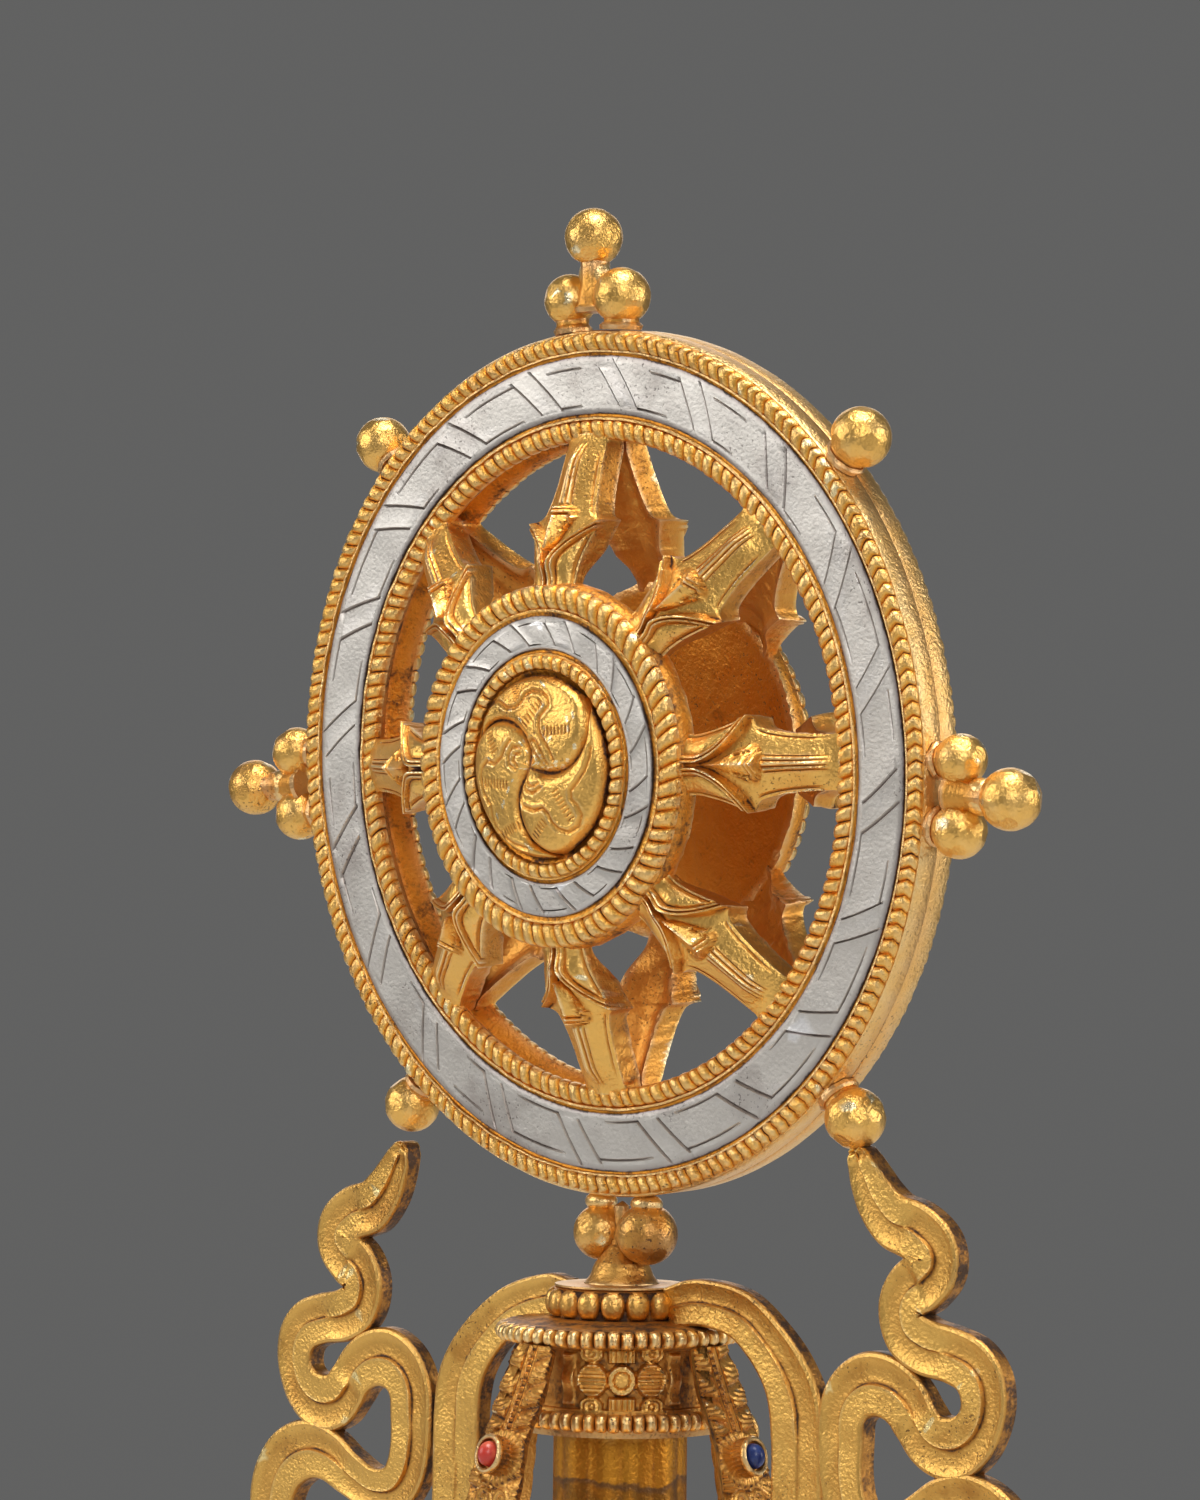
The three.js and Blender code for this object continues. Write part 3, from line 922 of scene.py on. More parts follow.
        def shape(radius: float, turn: float, height: float, row: float) -> Masked:
            """Roughens the hub's steps."""
            place = straight(radius, turn, height)
            wave = rough(place, 1.4, seed) * 0.1 if radius > 1 else 0.0
            if row < 8.5:
                pit = rough(place, 0.7, seed + 1) * 0.12 if radius > 1 else 0.0
                edge = 1.0 if row in (6, 7) else 0.0
                out = radius + (wave + pit) * edge * 2
                return out, turn, height + wave + pit, 0.55 - 0.3 * edge
            if row in (14, 15, 22, 23):
                return radius + wave * 0.5, turn, height + wave, 0.15
            return radius + wave * 0.5, turn, height, 0.75

        plate = Bench.turned(profile, 240).carve(shape).closed()
        outer = self.rope(17.42, 1.3, 9.5, 1.3, self.hub_beads, 0.9, seed + 1)
        inner = self.rope(10.72, 0.78, 10.3, 1.0, self.boss_beads, 0.4, seed + 2)
        return plate.add(outer, inner)

    @staticmethod
    def spoke_half(radius: float) -> float:
        """Half the spoke's width at a radius: a leaf with pointed shoulders, then a shaft.

        Args:
            radius: place along the spoke.

        Returns:
            Half the width in mm.
        """
        if radius < 25.2:
            return 3.05 + 1.95 * max((radius - 19.4) / 5.8, 0.0) ** 1.5
        run = radius - 25.2
        shaft = 2.75 + 1.2 * math.exp(-run / 2.4) + 1.05 * math.exp(-run / 0.22)
        return shaft + 0.3 * step(33.2, 34.0, radius)

    @staticmethod
    def spoke_band(radius: float) -> tuple[float, float]:
        """Where the petals' rolled line runs at a radius."""
        grow = max((radius - 20.4) / 4.8, 0.0)
        return 0.24 + 4.6 * grow**2.1, 2.0 * grow**1.1

    def spoke_places(self, radius: float) -> list[float]:
        """Places from the spoke's middle line to its edge, close together at the cut lines.

        Args:
            radius: place along the spoke.

        Returns:
            The places in mm, rising.
        """
        half = self.spoke_half(radius)
        band, slope = self.spoke_band(radius)
        split = max(min(band, half - 0.9), 0.24) if radius < 25.3 else half - 0.9
        marks = (0.0, 0.14, 0.2, 0.27, 0.34, 0.5, 0.65, 0.72, 0.79, 1.0, 1.3, 1.65)
        places = [mark * split / 2.0 for mark in marks]
        pull = min(math.sqrt(1.0 + slope * slope), (half - split) * 0.6 / 0.84)
        marks = (0.0, 0.05, 0.14, 0.26, 0.37, 0.48, 0.62, 0.72, 0.84)
        places += [split + mark * pull for mark in marks]
        last = places[-1]
        zone = min(0.5, (half - last) * 0.6)
        places += [last + (half - zone - last) * k / 4 for k in (1, 2, 3, 4)]
        marks = (0.14, 0.28, 0.4, 0.52, 0.7, 0.88, 1.0)
        return places + [half - zone * (1 - mark) for mark in marks]

    def spoke_relief(self, radius: float, off: float, half: float) -> tuple[float, float]:
        """Height of the spoke's carved face above its edge line.

        Args:
            radius: place along the spoke.
            off: distance from its middle line, in mm.
            half: half its width there, in mm.

        Returns:
            The height in mm and the hollow mask.
        """
        edge = half - off
        roof = 1.0 - off / half
        band, slope = self.spoke_band(radius)
        inside = (off - band) / math.sqrt(1.0 + slope * slope)
        rise = 1.0 - 0.5 * (1.0 - step(18.6, 21.6, radius))
        if radius < 25.3 and inside > -0.01:
            # A half-moon petal: a double rolled line, then a plain convex field.
            height = 0.5 + 1.9 * roof
            height += 0.55 * step(-0.01, 0.07, inside) * (1.0 - step(0.68, 0.8, inside))
            height -= 0.42 * line(inside, 0.37, 0.075)
            field = step(0.84, 1.2, inside) * step(0.34, 0.6, edge)
            height += 0.26 * field - 0.24 * line(edge, 0.3, 0.09) * step(0.9, 1.1, inside)
            mask = max(line(inside, 0.37, 0.09), line(inside, 0.82, 0.1))
            mask = max(mask, 0.8 * line(edge, 0.3, 0.11) * step(0.9, 1.2, inside))
            return height * rise, 0.9 * mask
        # Below the petals: the bud, and the shaft with its fine lines.
        under = 1.0 - step(-0.6, -0.1, inside) if radius < 25.3 else 1.0
        body = min(half, 2.75 + 1.2 * math.exp(-max(radius - 25.2, 0.0) / 2.4))
        height = 0.1 + 1.5 * max(0.0, 1.0 - off / body)
        mask = 0.95 * (1.0 - under)
        split = (half - 0.9) / 2.0
        fade = step(26.8, 27.3, radius) * (1.0 - step(33.0, 33.3, radius))
        cuts = line(off, 0.27 * split, 0.075) + line(off, 0.72 * split, 0.075)
        height += (0.2 * (1.0 - step(0.76 * split, 0.86 * split, off)) - 0.3 * cuts) * fade
        mask = max(mask, 0.95 * min(cuts, 1.0) * fade)
        frame_line = line(edge, 0.4, 0.08) * step(25.6, 26.0, radius)
        frame_line *= 1.0 - step(31.0, 33.0, radius)
        height -= 0.26 * frame_line
        mask = max(mask, 0.85 * frame_line)
        run = (radius - 22.2) / 4.7
        if 0.0 < run < 1.0:
            reach = 2.25 * run**0.8 * math.sqrt(1.0 - run**7)
            if off < reach:
                near = off / reach
                bud = 0.3 + 1.15 * (1.0 - near) * (1.0 - 0.25 * run)
                ringed = max(near * step(0.1, 0.5, run), run**1.6)
                rings = line(ringed, 0.7, 0.035) + line(ringed, 0.86, 0.035)
                bud *= 1.0 - step(0.94, 1.0, ringed)
                height += bud + 0.25 * step(0.72, 0.8, ringed) - 0.3 * rings
                mask = max(0.9 * min(rings, 1.0), 0.8 * step(0.95, 1.0, ringed))
            else:
                mask = max(mask, 0.95 * (1.0 - step(reach, reach + 0.35, off)))
        height *= 1.0 - 0.62 * step(31.2, 34.0, radius)
        return height * rise, mask

    def spoke(self, index: int, seed: int) -> Bench:
        """One spoke: carved in front, with rough walls and a hollow back.

        Args:
            index: which spoke, counted from the right.
            seed: seed of its unevenness.

        Returns:
            The spoke.
        """
        rng = random.Random(seed * 31 + index)
        top, wall, under = 62, 5, 12
        around = top + wall + under + wall
        sway = rng.uniform(-0.12, 0.12)
        lean = rng.uniform(-0.02, 0.02)
        steps = [(0.0, 17.9), (0.14, 20.6), (0.4, 24.2), (0.7, 27.3), (0.86, 31.5), (1.0, 34.3)]

        def shape(u: float, v: float, _: float) -> Masked:
            """Lays the strip of cells round the spoke's section."""
            radius = table(steps, u)
            half = self.spoke_half(radius)
            depth = 8.7 - (radius - 17.9) * 0.3757
            foot = max(depth - 1.4 - 1.7 * step(19.0, 22.5, radius), 0.12)
            slot = int(round(v * around)) % around
            shift = sway + lean * (radius - 26)
            if slot <= top:
                side = slot - top // 2
                off = self.spoke_places(radius)[abs(side)]
                rise, mask = self.spoke_relief(radius, off, half)
                across = math.copysign(off, side)
                soft = rough((radius, across, index * 7.0), 1.5, seed) * 0.05
                soft += rough((radius, across, index * 7.0), 0.5, seed) * 0.02
                return radius, across + shift, depth + rise - 0.2 * (off / half) ** 6 + soft, mask
            if slot <= top + wall or slot > top + wall + under:
                right = slot <= top + wall
                part = (slot - top) / wall if right else 1.0 - (slot - top - wall - under) / wall
                sign = 1.0 if right else -1.0
                place = (radius, sign * 5 + part * 3, index * 7.0)
                ragged = rough(place, 0.9, seed) * 0.2 + rough(place, 0.4, seed) * 0.12
                out = half * (1 - 0.08 * part) + ragged * math.sin(math.pi * part)
                level = depth + (foot - depth) * part
                uneven = rough((radius, sign * 5, index), 1.0, seed)
                level += uneven * 0.25 * part * step(0.3, 1.2, foot)
                return radius, sign * out + shift, level, 0.5 + 0.15 * part
            across = 1.0 - (slot - top - wall) / under * 2.0
            arch = max(0.0, 1.0 - (abs(across) / 0.86) ** 2.2)
            crown = max(min(depth - 0.6, foot + 1.6), foot)
            level = foot + (crown - foot) * arch
            level += rough((radius, across * half, index * 7.0), 1.0, seed) * 0.2 * arch
            return radius, across * half * 0.92 + shift, level, 0.5

        work = Bench.sheet(96, around).press(shape).closed()
        return work.moved(Matrix.Rotation(index / self.spokes * math.tau, 4, "Z"))

    @staticmethod
    def silver(inner: float, outer: float, floor: float, units: int, seed: int) -> Bench:
        """A flat silver ring engraved with slanting strokes.

        Args:
            inner: its inner radius.
            outer: its outer radius.
            floor: depth of its underside.
            units: how many pairs of strokes go round.
            seed: seed of the hand-made unevenness.

        Returns:
            The ring as a closed solid.
        """
        rng = random.Random(seed)
        width = outer - inner
        middle = (inner + outer) / 2
        pitch = math.tau / units
        slits = 0.22 / middle
        second = 3.1 / middle
        places = [0.0]
        first = 0.22 * pitch
        for centre in (first, first + second):
            places += [centre - slits, centre, centre + slits]
        extra = [first + second * 0.5, first + second + (pitch - first - second) * 0.25]
        extra += [first + second + (pitch - first - second) * k for k in (0.5, 0.75)]
        places = sorted(places + extra + [first * 0.5])
        per = len(places)
        wobble = [rng.uniform(-0.07, 0.07) * pitch for _ in range(units)]
        starts = (3, 4, 5)
        ends = [
            ((rng.choice(starts), rng.choice((9, 10, 11))), (rng.choice(starts), 12))
            for _ in range(units)
        ]
        frets = [(rng.random() > 0.2, rng.choice((1, 2, 2, 3))) for _ in range(units)]
        rows = [0.0, 0.05, 0.1, 0.12, 0.145, 0.17, 0.3, 0.5, 0.7, 0.775, 0.8, 0.825]
        rows += [0.88, 0.95, 1.0]
        inner_fret, outer_fret = 4, 10
        top = floor + 0.9
        profile = [(inner + 0.05, floor)] + [(inner + width * part, top) for part in rows]
        profile += [(outer - 0.05, floor)]
        lines = [places.index(first), places.index(first + second)]

        def shape(radius: float, turn: float, height: float, row: float) -> Masked:
            """Engraves the ring."""
            unit, slot = cell(turn, units, per)
            across = (radius - inner) / width * 2.0 - 1.0
            jog = wobble[unit] + (wobble[(unit + 1) % units] - wobble[unit]) * slot / per
            angle = across * width * 0.42 / middle - unit * pitch - places[slot] - jog
            index = int(round(row)) - 1
            if index < 0 or index >= len(rows):
                return radius, angle, height, 1.0
            cut = burr = 0.0
            kept, reach = frets[unit]
            for stroke, (low, high) in zip(lines, ends[unit]):
                if low <= index <= high:
                    cut = max(cut, float(slot == stroke))
                    burr = max(burr, float(slot == stroke + 1))
            if index == outer_fret and kept and (slot <= lines[0] or slot >= per - 2):
                cut = 1.0
            if index == inner_fret and lines[1] <= slot <= per - reach:
                cut = 1.0
            # Painted shade: the cuts and the edge bevels take the darker hollow colour, with grime
            # where the edges meet the gold.
            edge = float(index in (0, len(rows) - 1))
            wave = rough(straight(radius, angle, 0.0), 3.0, seed) * 0.07
            drop = 0.1 * edge + 0.26 * cut - 0.07 * burr * (1.0 - cut)
            beside = float(index in (1, len(rows) - 2))
            return radius, angle, height - drop + wave, max(cut * 0.75, edge, beside * 0.35)

        return Bench.turned(profile, units * per, closed=True).carve(shape).closed()

    def boss(self) -> Bench:
        """The centre: a dome of three interlocking lobes, engraved with clouds.

        Returns:
            The boss.
        """
        columns, rings = 300, 62
        floor, rise = 9.9, 3.1
        lobe = columns // 3
        reach = self.boss_radius
        profile = [(0.0, floor), (reach, floor)]
        profile += [(reach * (1 - k / rings), floor + 1.0) for k in range(rings + 1)]

        def shape(radius: float, turn: float, height: float, row: float) -> Masked:
            """Swirls and engraves the lobes."""
            if row < 2:
                return radius, turn, height, 1.0
            column = round(turn / math.tau * columns) % columns
            part = radius / reach
            swirl = math.acos(min(part / 1.03, 1.0))
            angle = column / columns * math.tau - swirl + math.radians(60)
            near = (column % lobe) / lobe
            gap = min(near, 1.0 - near) * 2.0 * math.tau / 6 * max(radius, 0.05)
            side = 1.0 if near < 0.5 else 0.75
            dome = math.sqrt(max(0.0, 1.0 - (part * 0.97) ** 2.4))
            pillow = 1.0 - math.exp(-((gap / (0.8 * side)) ** 1.3))
            crown = 0.85 + (rise - 1.1) * dome
            level = floor + crown - 1.0 * (1.0 - pillow) * (0.35 + 0.65 * step(0.0, 0.2, part))
            level -= 0.5 * step(0.93, 1.0, part)
            x, y, _ = straight(radius, angle, 0.0)
            cut, lift, tick = engraved(x, y)
            edge = step(0.1, 0.5, gap)
            mask = max(1.0 - step(0.0, 0.5, pillow), step(0.95, 1.0, part))
            mask = max(mask, 0.75 * cut * edge, tick * edge)
            return radius, angle, level + (0.1 * lift - 0.2 * cut - 0.1 * tick) * edge, mask

        return Bench.turned(profile, columns).carve(shape).closed()

    def build(self, side: Side) -> None:
        """Makes one face of the wheel and dresses it.

        Args:
            side: which face.
        """
        word = side.name.lower()
        seed = 11 if side is Side.FRONT else 47
        stand = self.place(side)
        casting = self.rim(seed).add(self.hub(seed + 5)).moved(stand)
        casting.finished(f"wheel_{word}_casting", CAST.make(), Metal.GOLD, f"wheel_{word}")
        spokes = Bench().add(*(self.spoke(index, seed) for index in range(self.spokes)))
        spokes.moved(stand).finished(f"wheel_{word}_spokes", GILT.make(), Metal.GOLD)
        for part, ring in (
            ("rim", self.silver(36.35, 42.35, 1.8, 20, seed + 7)),
            ("hub", self.silver(12.06, 15.5, 9.6, 12, seed + 8)),
        ):
            name, node = f"{part}_ring_{word}", f"{part}_silver_{word}"
            ring.moved(stand).finished(name, SILVER.make(), Metal.SILVER, node, crease=25)
        boss = self.boss().moved(stand)
        boss.finished(f"boss_{word}_lobes", GILT.make(), Metal.GOLD, f"boss_{word}", crease=60)


@dataclass
class Beads:
    """The burnished beads on the rim, with their collars."""

    wheel: Wheel
    offset: float = -0.6
    foot: float = 45.3

    @staticmethod
    def ball(radius: float, seed: int, facets: int = 26) -> Bench:
        """A bead with hand-filed flats.

        Args:
            radius: the bead's radius.
            seed: seed of the flats' places.
            facets: how many flats are filed.

        Returns:
            The bead about the origin.
        """
        rng = random.Random(seed)
        work = Bench.ball(radius, 4)
        bm = work.mesh
        ways: list[Vector] = []
        while len(ways) < facets:
            way = Vector((rng.gauss(0, 1), rng.gauss(0, 1), rng.gauss(0, 1))).normalized()
            if all(way.dot(other) < 0.9 for other in ways) or rng.random() < 0.04:
                ways.append(way)
        for way in ways:
            reach = radius * rng.uniform(0.95, 0.982)
            cut = bmesh.ops.bisect_plane(
                bm,
                geom=bm.verts[:] + bm.edges[:] + bm.faces[:],
                plane_co=way * reach,
                plane_no=way,
                clear_outer=True,
            )
            rim = [item for item in cut["geom_cut"] if isinstance(item, bmesh.types.BMEdge)]
            if rim:
                bmesh.ops.edgenet_fill(bm, edges=rim)
        return work

    def standing(
        self, degrees: float, distance: float, radius: float, foot: float, seed: int
    ) -> Bench:
        """A bead on its collar, standing on the rim.

        Args:
            degrees: where it stands, counted from the right.
            distance: from the wheel's middle to the bead's.
            radius: the bead's radius.
            foot: distance at which its collar starts.
            seed: seed of its unevenness.

        Returns:
            The bead and its collar.
        """
        ball = self.ball(radius, seed).moved(Matrix.Translation((0, 0, distance)))
        below = distance - radius * 0.72
        thick = 0.62 if foot < 46 else 0.5
        collar = [
            (0.0, foot - 0.25),
            (radius * 0.7, foot - 0.25),
            (radius * 0.74, foot + 0.2),
            (radius * 0.66, foot + 0.5),
            (radius * thick, foot + (below - foot) * 0.5),
            (radius * thick, below),
            (0.0, distance - radius * 0.5),
        ]

        def shape(r: float, turn: float, z: float, row: float) -> Masked:
            """Makes the solder uneven."""
            lump = rough(straight(r, turn, z), 0.9, seed) * 0.22
            return r + (lump if r > 0.5 else 0.0), turn, z, 0.55

        neck = Bench.turned(collar, 36).carve(shape).closed()
        turn = math.radians(degrees)
        stand = Matrix.Rotation(math.pi / 2 - turn, 4, "Y")
        return ball.add(neck).moved(stand)

    def build(self) -> None:
        """Makes the single beads and the three clusters."""
        singles = {
            "bead_upper_right": (41.8, 48.3, 3.1),
            "bead_upper_left": (133.8, 48.1, 3.0),
            "bead_lower_left": (-130.7, 48.4, 3.0),
            "bead_lower_right": (-47.3, 48.5, 3.1),
        }
        clusters = {
            "cluster_top": ((90.5, 54.75, 3.04), (94.9, 48.6, 2.75), (86.0, 48.5, 3.0)),
            "cluster_right": ((-4.0, 54.4, 3.1), (0.1, 48.1, 2.6), (-8.2, 48.1, 2.8)),
            "cluster_left": ((182.4, 55.6, 3.05), (178.2, 48.6, 2.75), (186.3, 48.6, 2.8)),
        }
        origin = self.wheel.place(Side.FRONT) @ Matrix.Rotation(math.radians(-90), 4, "X")
        stand = origin @ Matrix.Translation((0, self.offset, 0))
        for index, (name, (angle, distance, radius)) in enumerate(singles.items()):
            work = self.standing(angle, distance, radius, self.foot, 100 + index).moved(stand)
            work.finished(f"{name}_ball", GILT.make(), Metal.GOLD, name, crease=15)
        for index, (name, spots) in enumerate(clusters.items()):
            work = Bench()
            for part, (angle, distance, radius) in enumerate(spots):
                foot = 47.2 if part == 0 else self.foot
                work.add(self.standing(angle, distance, radius, foot, 120 + index * 5 + part))
            web = Matrix.Translation((0, 0, 50.7)) @ Matrix.Diagonal((1.9, 1.5, 2.2, 1.0))
            turn = Matrix.Rotation(math.pi / 2 - math.radians(spots[0][0]), 4, "Y")
            work.add(Bench.ball(1.0, 3).moved(web).moved(turn))
            work.moved(stand).finished(f"{name}_balls", GILT.make(), Metal.GOLD, name, crease=15)


# --- the stand --------------------------------------------------------------------------------


@dataclass
class Neck:
    """Two beads beside the core that flares into a collar."""

    def build(self) -> None:
        """Makes the neck."""
        profile = [
            (0.0, 91.5), (4.0, 91.5), (3.9, 91.95), (3.5, 92.4), (3.2, 92.9), (3.0, 93.5),
            (2.75, 94.0), (2.1, 94.8), (1.2, 95.9), (0.8, 97.5), (0.8, 99.9), (0.0, 100.4),
        ]

        def shape(r: float, turn: float, z: float, row: float) -> Masked:
            """Makes the neck uneven."""
            lump = rough(straight(r, turn, z), 1.0, 3) * 0.22 * step(93.0, 94.5, z)
            return r + (lump if r > 0.5 else 0.0), turn, z, 0.25 + 0.4 * step(93.4, 94.6, z)

        core = Bench.turned(profile, 72).carve(shape).closed()
        left = Beads.ball(2.9, 301, 20).moved(Matrix.Translation((-3.1, 0, 97.0)))
        right = Beads.ball(3.2, 302, 12).moved(Matrix.Translation((3.6, 0, 97.1)))
        core.add(left, right)
        for x in (-3.1, 3.5):
            lump = Matrix.Translation((x, 0, 100.2)) @ Matrix.Diagonal((1.9, 1.5, 1.1, 1.0))
            core.add(Bench.ball(1.0, 3).moved(lump))
        core.finished("neck_beads", STAND_GILT.make(), Metal.GOLD, "neck", crease=14)


@dataclass
class Capital:
    """The turned capital: petals, beaded rings and a carved frieze."""

    petals: int = 17
    beads: int = 55
    drum_foot: float = 79.4
    drum_rise: float = 6.4
    drum_radius: float = 10.5
    ring_foot: float = 88.45
    ring_rise: float = 2.8

    def beaded(self, height: float, reach: float, inner: float, half: float, seed: int) -> Bench:
        """A ring of upright oval beads with a fine line down each.

        Args:
            height: the ring's middle height.
            reach: its outer radius.
            inner: the radius it grows from.
            half: half its height.
            seed: seed of the unevenness.

        Returns:
            The closed ring.
        """
        rng = random.Random(seed)
        per = 8
        lift = [rng.uniform(-0.06, 0.06) for _ in range(self.beads)]
        arc = [math.pi * (k / 8 - 0.5) for k in range(9)]
        out = reach - inner
        profile = [(inner + out * math.cos(a) ** 0.7, height + half * math.sin(a)) for a in arc]
        profile += [(inner - 1.0, height + half), (inner - 1.0, height - half)]

        def shape(radius: float, turn: float, level: float, row: float) -> Masked:
            """Raises the beads."""
            if row > 8:
                return radius, turn, level, 1.0
            bead, slot = cell(turn, self.beads, per)
            pillow = math.sin(math.pi * slot / per) ** 0.6 if slot else 0.0
            slit = 1.0 if slot == per // 2 else 0.0
            out = (radius - inner) * (0.4 + 0.6 * pillow) - 0.06 * slit
            return (
                inner + out,
                turn,
                height + (level - height) * (0.8 + 0.2 * pillow) + lift[bead],
                max(1.0 - step(0.0, 0.7, pillow), 0.3 * slit),
            )

        return Bench.turned(profile, self.beads * per, closed=True).carve(shape).closed()

    def build(self) -> None:
        """Makes the capital."""
        rows = [
            (0.0, 76.6), (11.0, 76.8), (11.2, 77.6), (10.8, 78.4), (10.5, 79.2), (10.4, 79.4),
        ]
        frieze = [(10.4, self.drum_foot + self.drum_rise * k / 44) for k in range(1, 45)]
        foot = [
            (11.2, 86.0), (11.8, 86.2), (11.9, 87.3), (12.3, 87.7), (11.8, 87.95), (10.4, 88.05),
            (9.2, 88.15), (8.4, 88.25), (7.8, 88.35),
        ]
        ring = [(7.8, self.ring_foot + self.ring_rise * k / 12) for k in range(13)]
        collar = [(7.1, 91.4), (6.8, 91.5), (7.0, 91.6), (6.95, 91.8), (3.5, 91.85), (0.0, 91.85)]
        profile = rows + frieze + foot + ring + collar
        columns = self.petals * 24
        panel = math.pi / 4 * self.drum_radius
        middle = 82.65

        def shape(radius: float, turn: float, height: float, row: float) -> Masked:
            """Raises the petals and the frieze."""
            if 88.4 < height < 91.3:
                local = (turn / math.tau * self.petals) % 1.0 * 2.0 - 1.0
                level = (height - self.ring_foot) / self.ring_rise
                oval = 1.0 - (abs(local) / 0.94) ** 2.4 - (abs(level - 0.52) / 0.52) ** 2.4
                bulge = math.sqrt(max(0.0, oval))
                return radius - 0.8 + 0.95 * bulge, turn, height, 1.0 - step(0.0, 0.45, bulge)
            if 79.41 < height < 85.85:
                quarter = (turn / math.tau * 4 + 0.5) % 1.0 * 2.0 - 1.0
                around = quarter * math.pi / 4 * self.drum_radius
                around = (abs(around) - panel) * (1 if around > 0 else -1)
                up = (height - middle) * 0.92
                rise, mask = self.frieze(around, up)
                return radius - 0.5 + rise, turn, height, mask
            lump = 0.14 * rough(straight(radius, turn, height), 1.3, 8)
            if 87.5 < height < 88.36 and radius > 7.9:
                return radius, turn, height + lump, 0.85
            return radius, turn, height, 0.6

        body = Bench.turned(profile, columns).carve(shape).closed()
        upper = self.beaded(86.9, 13.2, 11.7, 0.98, 5)
        lower = self.beaded(78.3, 12.1, 10.8, 0.98, 6)
        body.add(upper, lower).finished("capital_carved", STAND_GILT.make(), Metal.GOLD, "capital")

    @staticmethod
    def frieze(around: float, up: float) -> tuple[float, float]:
        """Relief of a frieze panel between two straps.

        Args:
            around: place along the drum from the panel's middle, mm.
            up: place above the drum's middle, mm.

        Returns:
            The height in mm and the hollow mask.
        """
        far = math.hypot(around, up)
        dimple = 0.5 - 0.25 * max(0.0, 1.0 - (far / 0.8) ** 2) if far < 0.8 else 0.0
        ring = step(1.5, 1.35, far) * step(0.74, 0.86, far) * 0.95
        reach = math.hypot(abs(around) - 3.1, up)
        side = 0.72 + 0.09 * math.cos(up * 14.0) + 0.12 * line(reach, 1.5, 0.14)
        side *= step(1.75, 1.45, reach)
        neck = step(0.9, 0.6, abs(up)) * step(2.4, 2.0, abs(around)) * 0.5
        tip_x, tip_z = abs(around) / 1.55, (abs(up) - 2.25) / 0.68
        tip = step(1.0, 0.8, max(tip_x, abs(tip_z))) * (0.6 + 0.09 * math.cos(around * 14.0))
        curl = math.hypot(abs(around) - 3.3, (abs(up) - 2.5) * 1.4)
        leaf = step(1.4, 1.15, curl) * (0.42 + 0.09 * math.cos(curl * 10.0))
        wing = step(0.9, 0.6, abs(abs(around) - 6.0)) * step(2.6, 2.2, abs(up))
        wing *= 0.35 + 0.2 * math.cos(up * 2.2)
        border = step(2.7, 2.85, abs(up)) * 0.5
        rise = max(dimple, ring, side, neck, tip, leaf, wing, border)
        ground = 0.12 * math.cos(around * 2.1) * math.cos(up * 2.4)
        return max(rise, ground), 0.75 * (1.0 - step(0.1, 0.42, rise))


@dataclass
class Column:
    """The fluted column inside the straps."""

    flutes: int = 12
    radius: float = 7.1
    foot: float = 45.3
    top: float = 77.0

    def build(self) -> None:
        """Makes the column."""
        heights = [self.foot + (self.top - self.foot) * k / 40 for k in range(41)]
        profile = [(self.radius, z) for z in heights]
        profile = [(0.0, self.foot)] + profile + [(0.0, self.top)]

        def shape(radius: float, turn: float, height: float, row: float) -> Masked:
            """Cuts the flutes."""
            if radius < 1:
                return radius, turn, height, 0.5
            local = abs(math.cos(turn * self.flutes / 2))
            dip = 0.3 * (1.0 - local)
            dip -= rough((turn * 7, height * 0.3, 0.0), 2.0, 4) * 0.08
            return radius - dip, turn, height, 0.4 + 0.25 * step(0.6, 1.0, 1.0 - local)

        work = Bench.turned(profile, self.flutes * 12).carve(shape).closed()
        work.finished("column_fluted", COLUMN_GILT.make(), Metal.GOLD, "column", crease=30)


